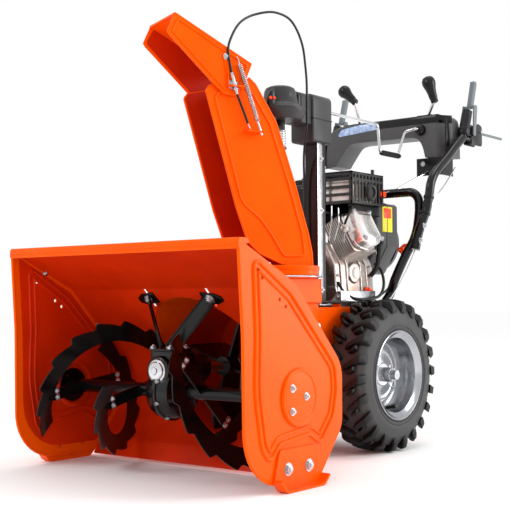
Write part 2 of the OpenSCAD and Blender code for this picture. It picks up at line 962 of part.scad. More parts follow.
// Lever that closes over a grip: two straps beside the grip carry a flat paddle above it
module clutch_lever(side) {
    x = side * bar_x;
    strap = rounded([[454, 900, 4], [468, 898, 4], [480, 985, 6], [478, 993, 2], [462, 993, 2],
        [457, 975, 10]], 4);
    paddle = rounded([[462, 984, 1], [478, 984, 1], [506, 1068, 6], [490, 1074, 6]], 4);
    machine()
        union() {
            across(strap, x - 20, x - 16.5);
            across(strap, x + 16.5, x + 20);
            across(paddle, x - 7, x + 7);
            block([x - 20, 463, 985], [x + 20, 477, 991]);
            rod_x(x - 20, x + 20, lever_y, lever_z, 3);
        }
}

module clutch_lever_left() {
    color([0.48, 0.5, 0.51]) clutch_lever(1);
}

module clutch_lever_right() {
    color([0.48, 0.5, 0.51]) clutch_lever(-1);
}

// Half profile of a moulded knob, up from its collar
knob = rounded([[0, 0, 0], [12, 0, 3], [14, 26, 12], [21, 40, 8], [19, 66, 14], [0, 70, 0]], 5);

// Chrome stalk with a moulded knob that leans on to its tip
module stalk(foot, top, tip) {
    d = tip - top;
    rod(foot, top, 5);
    translate(top - 6 * d / norm(d))
        rotate([0, acos(d[2] / norm(d)), atan2(d[1], d[0])])
            rotate_extrude()
                polygon(knob);
}

module speed_lever() {
    color(black) machine()
        union() {
            stalk([126, 380, 930], [178, 352, 1000], [162, 350, 1052]);
            rod_x(118, 134, 388, 940, 10);
        }
}

module deflector_lever() {
    color(black) machine()
        union() {
            stalk([-104, 396, 930], [-106, 352, 1030], [-140, 350, 1064]);
            rod_x(-112, -96, 396, 940, 10);
        }
}

module lock_lever() {
    color(grey) machine()
        union() {
            rod_y(510, 683, bar_x, 916, 4);
            rod_x(bar_x - 14, bar_x + 14, 514, 916, 3);
        }
}

// ---------- wheels ----------

module tyre(side) {
    w = tyre_w / 2;
    machine()
        translate([side * wheel_x, 0, axle_z])
            rotate([0, side * 90, 0])
                union() {
                    rotate_extrude()
                        polygon(rounded([[114, -w + 8, 2], [150, -w, 16], [184, -w + 12, 10], [190, 0, 60],
                            [184, w - 12, 10], [150, w, 16], [114, w - 8, 2]], 4));
                    for (k = [0 : lug_count - 1], s = [-1, 1])
                        rotate([0, 0, 360 * (k + (s > 0 ? 0.5 : 0)) / lug_count])
                            block([180, -9, s > 0 ? 12 : -w + 4], [tyre_r - 0.2, 9, s > 0 ? w - 4 : -12]);
                }
}

module tyre_left() {
    color(black) tyre(1);
}

module tyre_right() {
    color(black) tyre(-1);
}

// Pressed steel rim with its hub
module rim(side) {
    w = tyre_w / 2;
    color(steel) machine()
        translate([side * wheel_x, 0, axle_z])
            rotate([0, side * 90, 0])
                difference() {
                    rotate_extrude()
                        polygon([[0, -16], [19, -16], [19, 0], [90, -8], [96, -30], [96, -w], [116, -w],
                            [116, -w + 4], [114, -w + 6], [100, -w + 8], [100, w - 8],
                            [114, w - 6], [116, w - 4],
                            [116, w], [96, w], [90, -2], [19, 6], [19, 36], [0, 36]]);
                    translate([0, 0, -40])
                        cylinder(r = axle_r + fit, h = 100);
                }
}

module rim_left() {
    rim(1);
}

module rim_right() {
    rim(-1);
}

module axle() {
    color(steel) machine()
        union() {
            rod_x(-wheel_x - 50, wheel_x + 50, 0, axle_z, axle_r);
            rod_x(-138, 138, 0, axle_z, 20 + fit);
        }
}

side_plate_left();
side_plate_right();
housing_wrap();
housing_top_bar();
scraper_bar();
skid_shoes();
housing_fasteners();
auger_bearings();
impeller_housing();
gearcase_bracket();
auger_gearcase();
gearcase_cap();
auger_shaft();
auger_arms();
auger_flight_left();
auger_flight_right();
worm_wheel();
impeller();
impeller_shaft();
impeller_pulley();
belt_cover();
drive_belt();
crank_pulley();
frame_box();
chute();
chute_drive();
deflector();
deflector_spring();
deflector_cable();
cable_lead();
chute_post();
gear_cover();
crank_rod();
crank_grip();
crankcase();
cylinder_block();
valve_cover();
muffler();
muffler_guard();
blower_housing();
recoil_cover();
recoil_handle();
fuel_tank();
fuel_cap();
carburetor_cover();
lower_handlebar();
handlebars();
grips();
console();
console_bracket();
clutch_lever_left();
clutch_lever_right();
speed_lever();
deflector_lever();
lock_lever();
tyre_left();
tyre_right();
rim_left();
rim_right();
axle();
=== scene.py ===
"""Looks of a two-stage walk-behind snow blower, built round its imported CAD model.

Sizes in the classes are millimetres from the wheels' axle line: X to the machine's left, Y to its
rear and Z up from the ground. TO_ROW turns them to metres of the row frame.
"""

import json
import logging
import math
from dataclasses import dataclass
from enum import Enum
from typing import Iterable, Sequence

import bmesh
import bpy
from mathutils import Matrix, Vector


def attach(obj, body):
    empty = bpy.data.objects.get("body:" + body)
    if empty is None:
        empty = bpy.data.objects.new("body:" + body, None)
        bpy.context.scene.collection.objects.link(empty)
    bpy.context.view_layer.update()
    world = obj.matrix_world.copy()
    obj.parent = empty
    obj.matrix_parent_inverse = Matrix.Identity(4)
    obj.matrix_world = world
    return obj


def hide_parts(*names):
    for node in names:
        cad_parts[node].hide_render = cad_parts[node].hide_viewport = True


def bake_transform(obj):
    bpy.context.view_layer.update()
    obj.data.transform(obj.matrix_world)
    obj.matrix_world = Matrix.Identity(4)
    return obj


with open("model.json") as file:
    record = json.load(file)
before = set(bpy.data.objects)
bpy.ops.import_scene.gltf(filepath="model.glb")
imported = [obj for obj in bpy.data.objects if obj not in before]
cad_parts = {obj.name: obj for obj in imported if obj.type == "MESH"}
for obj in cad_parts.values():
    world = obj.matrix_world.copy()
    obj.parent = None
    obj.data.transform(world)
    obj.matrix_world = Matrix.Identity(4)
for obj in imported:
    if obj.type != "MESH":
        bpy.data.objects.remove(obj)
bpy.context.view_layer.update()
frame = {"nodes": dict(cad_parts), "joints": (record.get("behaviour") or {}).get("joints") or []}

LOG = logging.getLogger("snow_blower")
MM = 0.001
WHEEL = next(joint for joint in frame["joints"] if joint["name"] == "wheel_left_spin")
AXLE_Y = WHEEL["pos_m"][1]
AXLE_Z = WHEEL["pos_m"][2] / MM
TO_ROW = Matrix.Translation((0, AXLE_Y, 0)) @ Matrix.Scale(MM, 4)
CHUTE_FRAME = Matrix.Translation((90, -300, 0)) @ Matrix.Rotation(math.radians(-22), 4, "Z")

Point = Sequence[float]


class Axis(Enum):
    """Direction that an outline is extruded along, or a profile turned about."""

    X = "x"
    Y = "y"
    Z = "z"


# ---------------------------------------------------------------- finishes


def linear(hex_colour: str) -> tuple[float, float, float, float]:
    """Turn an sRGB hex colour to linear light.

    Args:
        hex_colour: six hex digits after a hash.

    Returns:
        Linear red, green, blue and an alpha of one.
    """
    parts = [int(hex_colour[i : i + 2], 16) / 255 for i in (1, 3, 5)]
    return (*[c / 12.92 if c <= 0.04045 else ((c + 0.055) / 1.055) ** 2.4 for c in parts], 1.0)


def add_node(tree: bpy.types.NodeTree, kind: str, inputs: dict | None = None, **settings: object) -> bpy.types.Node:
    """Add a shader node with its settings, values and links.

    Args:
        tree: node tree that receives it.
        kind: Blender's name for the node type.
        inputs: socket name or number to a value, or to an output socket to link from.
        **settings: attributes of the node itself.

    Returns:
        The new node.
    """
    node = tree.nodes.new(kind)
    for key, value in settings.items():
        setattr(node, key, value)
    for key, value in (inputs or {}).items():
        if isinstance(value, bpy.types.NodeSocket):
            tree.links.new(value, node.inputs[key])
        else:
            node.inputs[key].default_value = value
    return node


@dataclass(frozen=True)
class Finish:
    """One real surface: its colours, its gloss and the size of its grain."""

    name: str
    slot: str
    colour: str
    shade: str
    roughness: float
    metallic: float = 0.0
    spread: float = 0.06
    coat: float = 0.0
    broad_mm: float = 140.0
    grain_mm: float = 2.0
    bump_mm: float = 0.05
    edge_mm: float = 1.0
    stretch: tuple[float, float, float] = (1.0, 1.0, 1.0)
    pits: float = 0.0
    glow: float = 0.0
    specular: float = 0.3
    sheen: str = "#FFFFFF"
    # Colour of faces that look rearward; on the other faces the main colour stands, as painted shade where it is
    # darker.
    rear: str = ""

    def material(self) -> bpy.types.Material:
        """Return this finish's material, made the first time it is asked for."""
        found = bpy.data.materials.get(self.name)
        return found if found else self._build()

    def _build(self) -> bpy.types.Material:
        """Build the node tree.

        Returns:
            The material: broad colour drift, grain in roughness and bump, and softened edges.
        """
        material = bpy.data.materials.new(self.name)
        material.use_nodes = True
        tree = material.node_tree
        tree.nodes.clear()
        place = add_node(tree, "ShaderNodeTexCoord").outputs["Object"]
        space = add_node(tree, "ShaderNodeMapping", {"Vector": place, "Scale": self.stretch}).outputs[0]
        broad = add_node(tree, "ShaderNodeTexNoise",
                         {"Vector": space, "Scale": 1000 / self.broad_mm, "Detail": 4.0, "Roughness": 0.55})
        grain = add_node(tree, "ShaderNodeTexNoise",
                         {"Vector": space, "Scale": 1000 / self.grain_mm, "Detail": 2.0, "Roughness": 0.5})
        drift = add_node(tree, "ShaderNodeMapRange",
                         {"Value": broad.outputs["Fac"], "From Min": 0.35, "From Max": 0.68})
        tint = add_node(tree, "ShaderNodeMix", {0: drift.outputs[0], 6: linear(self.colour), 7: linear(self.shade)},
                        data_type="RGBA")
        colour = tint.outputs[2]
        # Painted shade: faces that look rearward take the rear colour, all others keep the darker main colour.
        if self.rear:
            facing = add_node(tree, "ShaderNodeSeparateXYZ",
                              {0: add_node(tree, "ShaderNodeNewGeometry").outputs["True Normal"]})
            behind = add_node(tree, "ShaderNodeMath", {0: facing.outputs["Y"], 1: 0.1}, operation="GREATER_THAN")
            colour = add_node(tree, "ShaderNodeMix", {0: behind.outputs[0], 6: colour, 7: linear(self.rear)},
                              data_type="RGBA").outputs[2]
        height = grain.outputs["Fac"]
        if self.pits:
            cells = add_node(tree, "ShaderNodeTexVoronoi", {"Vector": space, "Scale": 700 / self.grain_mm})
            height = add_node(tree, "ShaderNodeMath", {0: height, 1: cells.outputs["Distance"]},
                              operation="ADD").outputs[0]
        gloss = add_node(tree, "ShaderNodeMapRange",
                         {"Value": grain.outputs["Fac"], "From Min": 0.3, "From Max": 0.7,
                          "To Min": max(self.roughness - self.spread, 0.02), "To Max": self.roughness + self.spread})
        round_edge = add_node(tree, "ShaderNodeBevel", {"Radius": self.edge_mm * MM}, samples=4)
        bump = add_node(tree, "ShaderNodeBump",
                        {"Height": height, "Distance": self.bump_mm * MM, "Strength": 0.8,
                         "Normal": round_edge.outputs[0]})
        shader = add_node(tree, "ShaderNodeBsdfPrincipled",
                          {"Base Color": colour, "Roughness": gloss.outputs[0], "Metallic": self.metallic,
                           "Coat Weight": self.coat, "Coat Roughness": 0.06, "Normal": bump.outputs[0],
                           "Specular IOR Level": 0.5 if self.metallic else self.specular,
                           "Specular Tint": linear(self.sheen)})
        if self.glow:
            shader.inputs["Emission Color"].default_value = linear(self.colour)
            shader.inputs["Emission Strength"].default_value = self.glow
        add_node(tree, "ShaderNodeOutputMaterial", {"Surface": shader.outputs[0]})
        return material


# Baked gloss enamel on pressed sheet: a faint orange peel about 3 mm across breaks up the reflections.
ORANGE_ENAMEL = Finish("baked_orange_enamel", "orange_enamel", "#FF5A00", "#FB5300", 0.3, specular=0.24, sheen="#FFA860",
                       grain_mm=3.2, bump_mm=0.03, edge_mm=1.6)
# The same enamel inside the housing, redder and darker as painted shade, and duller.
SHADED_INNER_ENAMEL = Finish("shaded_inner_orange_enamel", "orange_enamel", "#DE3000", "#CC2800", 0.36, specular=0.2,
                      grain_mm=3.2, bump_mm=0.04, edge_mm=1.2)
# Enamelled wall of the housing, dull: its mouth side carries the darker colour as painted shade, while the faces that
# look rearward keep the plain enamel colour.
MOUTH_SHADED_WALL_ENAMEL = Finish("mouth_shaded_wall_enamel", "orange_enamel", "#DE3000", "#CC2800", 0.36, specular=0.2,
                     grain_mm=3.2, bump_mm=0.04, edge_mm=1.2, rear="#FF5400")
# Deep red-orange of the chute's inside, rubbed smooth by snow; the deep colour is painted shade.
SHADED_THROAT_ENAMEL = Finish("shaded_throat_enamel", "orange_enamel", "#C62A00", "#B82400", 0.4, specular=0.2,
                       grain_mm=3.2, bump_mm=0.03)
# Gloss black enamel over steel: dark, with sharp pale highlights.
BLACK_ENAMEL = Finish("gloss_black_enamel", "black_paint", "#060606", "#0B0B0C", 0.2, specular=0.3,
                      grain_mm=2.6, bump_mm=0.03, edge_mm=1.4)
# Painted tube: as the enamel, drawn smoother.
TUBE_ENAMEL = Finish("black_tube_enamel", "black_paint", "#050505", "#0A0A0B", 0.16, specular=0.35, bump_mm=0.01)
# Zinc plate: pale metal with a fine cloudy spangle about 6 mm across.
ZINC = Finish("zinc_plate", "zinc_steel", "#D2D4D7", "#AEB1B6", 0.26, metallic=1.0, broad_mm=18,
              grain_mm=0.8, bump_mm=0.02, edge_mm=0.6)
# Bright chrome on the stalks and the crank.
CHROME = Finish("bright_chrome", "zinc_steel", "#DCDDE0", "#C4C6CA", 0.1, metallic=1.0, spread=0.03, bump_mm=0.0)
# Silver lacquer on pressed rims: metallic flake too fine to see, so only the gloss varies.
RIM_SILVER = Finish("silver_rim_lacquer", "zinc_steel", "#B4B6B9", "#9DA0A4", 0.2, metallic=1.0,
                    grain_mm=1.2, bump_mm=0.01, edge_mm=1.2)
# Die-cast aluminium: bright, with sand-fine pits about 1.5 mm apart, and warm patches 60 mm across that are a painted
# reflection of the orange parts.
ALUMINIUM_WARM_REFLECTION = Finish("die_cast_aluminium_warm_reflection", "cast_aluminium", "#D9D6D2", "#A98F80", 0.3, metallic=0.95,
                        broad_mm=60, grain_mm=1.6, bump_mm=0.12, edge_mm=2.0, pits=1.0)
# The brighter, polished casting of the valve cover.
POLISHED_CASTING = Finish("polished_casting", "cast_aluminium", "#F4F3F1", "#E6DFDA", 0.24, metallic=0.8,
                          broad_mm=50, grain_mm=1.6, bump_mm=0.06, edge_mm=2.0)
# Painted cast iron: rough black skin.
CAST_IRON = Finish("painted_cast_iron", "cast_iron", "#0C0C0C", "#171514", 0.42, broad_mm=40,
                   grain_mm=1.8, bump_mm=0.2, edge_mm=1.8, pits=1.0)
# Gloss gear oil case: cast, then dipped in thick black paint that fills its pits.
GEARCASE_BLACK = Finish("dipped_black_casting", "black_paint", "#060606", "#0D0C0D", 0.18, specular=0.4, broad_mm=50,
                        grain_mm=3.0, bump_mm=0.1, edge_mm=2.4)
# Moulded polypropylene, mid grey, with a spark-eroded texture of about 1 mm.
MOULDED_GREY = Finish("moulded_grey_plastic", "moulded_grey", "#505052", "#484849", 0.42, grain_mm=1.1,
                      bump_mm=0.05, edge_mm=1.6)
# The darker moulding of the shrouds and of the gear cover.
MOULDED_DARK = Finish("moulded_dark_plastic", "moulded_grey", "#38383A", "#303032", 0.34, grain_mm=1.1,
                      bump_mm=0.05, edge_mm=1.6)
# Moulded black nylon: knobs, brackets of the grips, caps.
MOULDED_BLACK = Finish("moulded_black_nylon", "moulded_black", "#0A0A0A", "#101011", 0.3, grain_mm=0.9,
                       bump_mm=0.04, edge_mm=1.2)
# Soft vinyl grip: matte, with a fine leather-like grain of about 1 mm.
GRIP_VINYL = Finish("soft_grip_vinyl", "moulded_black", "#080808", "#0F0F10", 0.42, grain_mm=0.9, bump_mm=0.12)
# Vinyl cable sheath: smooth satin black.
CABLE_VINYL = Finish("cable_sheath_vinyl", "cable_black", "#101011", "#191919", 0.35, bump_mm=0.01)
# Cured tyre rubber: matte black lugs.
TYRE_RUBBER = Finish("tyre_rubber", "tyre", "#111111", "#0A0A0A", 0.5, broad_mm=70, grain_mm=1.4,
                     bump_mm=0.12, edge_mm=1.5)
# Sidewall of the same rubber, coloured a paler grey than the lugs.
SIDEWALL_RUBBER = Finish("sidewall_rubber", "tyre", "#454545", "#3A3A3A", 0.46, broad_mm=90, grain_mm=1.4,
                         bump_mm=0.05, edge_mm=1.5, specular=0.2)
# Belt rubber, hidden in its cover.
BELT_RUBBER = Finish("belt_rubber", "rubber", "#1A1A1A", "#222221", 0.62, grain_mm=1.0)
# Heat-proof satin paint on pressed steel.
HEAT_PAINT = Finish("heatproof_satin_paint", "muffler_steel", "#2A2929", "#1F1E1E", 0.36, metallic=0.3,
                    grain_mm=1.4, bump_mm=0.04, edge_mm=0.9)
# Bare muffler can: pale steel lightly browned by heat.
HEATED_STEEL = Finish("heat_browned_steel", "muffler_steel", "#E4E1DE", "#B9A79C", 0.3, metallic=0.9, broad_mm=70)
# Moulded orange ABS: starter handle, caps.
ORANGE_ABS = Finish("orange_abs", "orange_plastic", "#FF4C0C", "#F44406", 0.3, grain_mm=1.2, bump_mm=0.02)
# Powder-coated lever steel: flat grey with a fine orange peel.
LEVER_GREY = Finish("grey_powder_coat", "grey_lever", "#6F767A", "#666D71", 0.46, grain_mm=1.0, bump_mm=0.06)
# Black enamel of the post, tinted dark brown: painted shade and a painted reflection of the orange housing.
POST_ORANGE_REFLECTION = Finish("post_orange_reflection_enamel", "black_paint", "#1C0B08", "#140806", 0.25, specular=0.3, bump_mm=0.02)
# Machined bronze of the worm wheel.
BRONZE = Finish("machined_bronze", "bronze", "#B08A4A", "#9C783C", 0.3, metallic=1.0, grain_mm=0.8)
# Screen-printed plate, blank: flat signal yellow.
YELLOW_PLATE = Finish("blank_yellow_plate", "orange_plastic", "#F2E40C", "#ECDE06", 0.35, bump_mm=0.0)
# Printed black of the console's strip.
STRIP_BLACK = Finish("strip_black_film", "moulded_black", "#050505", "#080808", 0.18, specular=0.3, bump_mm=0.0)
# Headlight lens: polycarbonate over a mirror; its pale blue colour, in patches about 14 mm across, is a painted
# reflection.
LENS = Finish("headlight_lens", "moulded_grey", "#C4DAF8", "#7FA4DC", 0.12, coat=0.6, broad_mm=14, spread=0.03,
              bump_mm=0.3, grain_mm=7.0)
# Studio floor: matte white board.
FLOOR_BOARD = Finish("floor_board", "", "#FDFDFD", "#FCFCFC", 0.9, bump_mm=0.0, specular=0.0)

CAD_FINISHES: dict[Finish, tuple[str, ...]] = {
    ORANGE_ENAMEL: ("side_plate_left", "side_plate_right", "housing_top_bar", "skid_shoes", "impeller_housing",
                    "frame_box", "chute", "deflector"),
    MOUTH_SHADED_WALL_ENAMEL: ("housing_wrap",),
    # The scraper bar takes the darker inner enamel: painted shade under the housing.
    SHADED_INNER_ENAMEL: ("scraper_bar",),
    BLACK_ENAMEL: ("gearcase_bracket", "auger_shaft", "auger_arms", "auger_flight_left", "auger_flight_right",
                   "impeller", "auger_bearings", "console_bracket"),
    POST_ORANGE_REFLECTION: ("chute_post",),
    TUBE_ENAMEL: ("lower_handlebar", "handlebars"),
    ZINC: ("housing_fasteners", "impeller_shaft", "impeller_pulley", "crank_pulley", "deflector_spring", "axle"),
    CHROME: ("crank_rod", "gearcase_cap"),
    RIM_SILVER: ("rim_left", "rim_right"),
    BRONZE: ("worm_wheel",),
    GEARCASE_BLACK: ("auger_gearcase",),
    MOULDED_DARK: ("gear_cover", "blower_housing", "recoil_cover"),
    MOULDED_GREY: ("console",),
    MOULDED_BLACK: ("belt_cover", "chute_drive", "fuel_tank", "fuel_cap", "carburetor_cover", "speed_lever",
                    "deflector_lever"),
    GRIP_VINYL: ("crank_grip", "grips"),
    CABLE_VINYL: ("deflector_cable", "cable_lead"),
    BELT_RUBBER: ("drive_belt",),
    TYRE_RUBBER: ("tyre_left", "tyre_right"),
    ALUMINIUM_WARM_REFLECTION: ("crankcase", "valve_cover"),
    CAST_IRON: ("cylinder_block",),
    HEATED_STEEL: ("muffler",),
    HEAT_PAINT: ("muffler_guard",),
    ORANGE_ABS: ("recoil_handle",),
    LEVER_GREY: ("clutch_lever_left", "clutch_lever_right", "lock_lever"),
}


# ---------------------------------------------------------------- outlines and paths


def rounded(points: Sequence[Point], steps: int = 6, closed: bool = True) -> list[tuple[float, float]]:
    """Round each corner of an outline with an arc.

    Args:
        points: corners as (u, v, radius).
        steps: segments of each arc.
        closed: whether the outline closes; an open one keeps its two ends.

    Returns:
        The rounded outline.
    """
    out: list[tuple[float, float]] = []
    count = len(points)
    for i, (px, py, radius) in enumerate(points):
        end = not closed and i in (0, count - 1)
        if radius <= 0 or end:
            out.append((px, py))
            continue
        p = Vector((px, py))
        u = (Vector(points[i - 1][:2]) - p).normalized()
        v = (Vector(points[(i + 1) % count][:2]) - p).normalized()
        half = math.acos(max(-1.0, min(1.0, u.dot(v)))) / 2
        centre = p + (u + v).normalized() * radius / math.sin(half)
        first = p + u * radius / math.tan(half) - centre
        turn = -1 if u.x * v.y - u.y * v.x > 0 else 1
        sweep = (math.pi - 2 * half) * turn
        start = math.atan2(first.y, first.x)
        for k in range(steps + 1):
            a = start + sweep * k / steps
            out.append((centre.x + radius * math.cos(a), centre.y + radius * math.sin(a)))
    return out


def inset(outline: Sequence[Point], distance: float) -> list[tuple[float, float]]:
    """Move every point of a closed outline inwards along its normal.

    Args:
        outline: points in order.
        distance: how far inwards.

    Returns:
        The smaller outline.
    """
    count = len(outline)
    area = sum(outline[i][0] * outline[(i + 1) % count][1] - outline[(i + 1) % count][0] * outline[i][1]
               for i in range(count))
    sign = 1 if area > 0 else -1
    out = []
    for i in range(count):
        a, b = Vector(outline[i - 1][:2]), Vector(outline[(i + 1) % count][:2])
        d = (b - a).normalized()
        out.append((outline[i][0] - sign * d.y * distance, outline[i][1] + sign * d.x * distance))
    return out


def spline(points: Sequence[Point], steps: int = 8) -> list[Vector]:
    """Smooth curve through route points.

    Args:
        points: route points.
        steps: segments between two of them.

    Returns:
        Points along the curve.
    """
    p = [Vector(q) for q in points]
    out = []
    for i in range(len(p) - 1):
        a, b, c, d = p[max(i - 1, 0)], p[i], p[i + 1], p[min(i + 2, len(p) - 1)]
        for k in range(steps):
            t = k / steps
            out.append(0.5 * (2 * b + (c - a) * t + (2 * a - 5 * b + 4 * c - d) * t * t
                              + (3 * b - a - 3 * c + d) * t ** 3))
    return out + [p[-1]]


def bent(points: Sequence[Point], radius: float, steps: int = 6) -> list[Vector]:
    """Path of a bent rod: straight runs joined by smooth corners.

    Args:
        points: corner points.
        radius: how far each bend starts from its corner.
        steps: segments of each bend.

    Returns:
        Points along the rod.
    """
    p = [Vector(q) for q in points]
    out = [p[0]]
    for a, b, c in zip(p, p[1:], p[2:]):
        start = b + (a - b).normalized() * min(radius, (a - b).length / 2)
        stop = b + (c - b).normalized() * min(radius, (c - b).length / 2)
        for k in range(steps + 1):
            t = k / steps
            out.append(start * (1 - t) ** 2 + b * 2 * t * (1 - t) + stop * t * t)
    return out + [p[-1]]


def helix(start: Point, stop: Point, radius: float, turns: float, steps: int = 14) -> list[Vector]:
    """Path of a coil spring.

    Args:
        start: centre of its first turn.
        stop: centre of its last turn.
        radius: radius of the turns.
        turns: how many.
        steps: segments of each turn.

    Returns:
        Points along the wire.
    """
    a, b = Vector(start), Vector(stop)
    turn = (b - a).to_track_quat("Z", "Y").to_matrix()
    total = int(turns * steps)
    return [a + (b - a) * k / total
            + turn @ Vector((math.cos(2 * math.pi * k / steps), math.sin(2 * math.pi * k / steps), 0)) * radius
            for k in range(total + 1)]


# ---------------------------------------------------------------- mesh building


class Shape:
    """A mesh under construction, in millimetres."""

    def __init__(self) -> None:
        """Start empty."""
        self.bm = bmesh.new()

    def loft(self, rings: Sequence[Sequence[Point]], closed: bool = True, caps: bool = True,
             loop: bool = False) -> "Shape":
        """Skin a row of rings that have as many points each.

        Args:
            rings: the rings.
            closed: whether each ring closes on itself.
            caps: whether the two ends are filled.
            loop: whether the last ring joins the first.

        Returns:
            This shape.
        """
        rows = [[self.bm.verts.new(p) for p in ring] for ring in rings]
        count = len(rows[0])
        pairs = list(zip(rows, rows[1:])) + ([(rows[-1], rows[0])] if loop else [])
        for a, b in pairs:
            for k in range(count if closed else count - 1):
                m = (k + 1) % count
                self.bm.faces.new((a[k], a[m], b[m], b[k]))
        if caps and not loop:
            self.bm.faces.new(rows[0][::-1])
            self.bm.faces.new(rows[-1])
        return self

    def prism(self, outline: Sequence[Point], axis: Axis, low: float, high: float) -> "Shape":
        """Extrude an outline.

        Args:
            outline: (Y, Z) for X, (X, Z) for Y, or (X, Y) for Z.
            axis: direction of the extrusion.
            low: where it starts.
            high: where it ends.

        Returns:
            This shape.
        """
        def place(u: float, v: float, w: float) -> tuple[float, float, float]:
            """Put an outline point at height w of the axis."""
            return {Axis.X: (w, u, v), Axis.Y: (u, w, v), Axis.Z: (u, v, w)}[axis]
        return self.loft([[place(u, v, w) for u, v in outline] for w in (low, high)])

    def block(self, low: Point, high: Point) -> "Shape":
        """Add a box between two corners."""
        corners = [(low[0], low[1]), (high[0], low[1]), (high[0], high[1]), (low[0], high[1])]
        return self.prism(corners, Axis.Z, low[2], high[2])

    def lathe(self, profile: Sequence[tuple[float, float]], origin: Point, axis: Point = (0, 0, 1),
              segments: int = 48, ring: bool = False) -> "Shape":
        """Turn a profile about an axis.

        Args:
            profile: (radius, height) points.
            origin: point on the axis at height zero.
            axis: the axis.
            segments: faces round.
            ring: whether the profile closes on itself, as a tyre's does.

        Returns:
            This shape.
        """
        turn = Vector(axis).to_track_quat("Z", "Y").to_matrix()
        centre = Vector(origin)
        rings = []
        for r, h in profile:
            r = max(r, 0.02)
            rings.append([centre + turn @ Vector((r * math.cos(2 * math.pi * k / segments),
                                                  r * math.sin(2 * math.pi * k / segments), h))
                          for k in range(segments)])
        return self.loft(rings, loop=ring)

    def tube(self, path: Sequence[Point], radius: float | Sequence[float], sides: int = 16) -> "Shape":
        """Sweep a round section along a path.

        Args:
            path: centre line.
            radius: one radius, or one for each point.
            sides: faces round.

        Returns:
            This shape.
        """
        p = [Vector(q) for q in path]
        radii = [radius] * len(p) if isinstance(radius, (int, float)) else list(radius)
        tangents = [(p[min(i + 1, len(p) - 1)] - p[max(i - 1, 0)]).normalized() for i in range(len(p))]
        side = tangents[0].orthogonal().normalized()
        rings = []
        for i, (q, t) in enumerate(zip(p, tangents)):
            side = (side - t * side.dot(t)).normalized()
            other = t.cross(side)
            rings.append([q + radii[i] * (side * math.cos(2 * math.pi * k / sides)
                                          + other * math.sin(2 * math.pi * k / sides)) for k in range(sides)])
        return self.loft(rings)

    def bolt(self, origin: Point, axis: Point, radius: float = 8.0, height: float = 5.5) -> "Shape":
        """Add a hexagon head on its washer, with the thread's end showing.

        Args:
            origin: middle of the face it sits on.
            axis: direction that it stands out in.
            radius: across the head's corners, halved.
            height: height of the head.

        Returns:
            This shape.
        """
        self.lathe([(0, -0.5), (radius * 1.35, -0.5), (radius * 1.35, 1.2), (0, 1.2)], origin, axis, 28)
        self.lathe([(0, 1), (radius, 1), (radius, height - 0.8), (radius * 0.86, height), (0, height)],
                   origin, axis, 6)
        return self.lathe([(0, height - 1), (radius * 0.5, height - 1), (radius * 0.5, height + 2.4),
                           (radius * 0.38, height + 3.2), (0, height + 3.2)], origin, axis, 16)

    def build(self, name: str, finish: Finish, body: str, replaces: Iterable[str] = (), bevel: float = 0.0,
              place: Matrix | None = None, smooth: float = 32.0, segments: int = 2,
              carrier: bool = True) -> bpy.types.Object:
        """Turn the shape to an object that rides on a body.

        Args:
            name: the piece's name.
            finish: its surface.
            body: CAD body that it moves with.
            replaces: CAD nodes that it stands for.
            bevel: radius of its sharp edges.
            place: frame it was drawn in, in millimetres.
            smooth: angle in degrees under which edges shade smooth.
            segments: segments of the bevel.
            carrier: whether it rides on its body at once.

        Returns:
            The object.
        """
        bmesh.ops.remove_doubles(self.bm, verts=self.bm.verts, dist=0.03)
        bmesh.ops.recalc_face_normals(self.bm, faces=self.bm.faces)
        if bevel:
            edges = [e for e in self.bm.edges
                     if len(e.link_faces) == 2 and e.calc_face_angle(0) > math.radians(30)]
            bmesh.ops.bevel(self.bm, geom=edges, offset=bevel, offset_type="OFFSET", segments=segments,
                            profile=0.5, affect="EDGES", clamp_overlap=True)
        self.bm.transform(TO_ROW @ (place or Matrix.Identity(4)))
        mesh = bpy.data.meshes.new(name)
        self.bm.to_mesh(mesh)
        self.bm.free()
        mesh.polygons.foreach_set("use_smooth", [True] * len(mesh.polygons))
        mesh.set_sharp_from_angle(angle=math.radians(smooth))
        mesh.materials.append(finish.material())
        piece = bpy.data.objects.new(name, mesh)
        bpy.context.scene.collection.objects.link(piece)
        if carrier:
            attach(piece, body)
        if replaces:
            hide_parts(*replaces)
        LOG.info("built %s on %s, %d faces", name, body, len(mesh.polygons))
        return piece


def mirrored(points: Sequence[Point], side: int) -> list[tuple[float, float, float]]:
    """Points with X turned to one side of the machine."""
    return [(side * p[0], p[1], p[2]) for p in points]


def bead(points: Sequence[Point], x: float, radius: float) -> list[Vector]:
    """Closed bead line on a plate at a given X, from its (Y, Z) outline."""
    loop = [Vector((x, u, v)) for u, v in points]
    return loop + [loop[0]]


# ---------------------------------------------------------------- auger housing


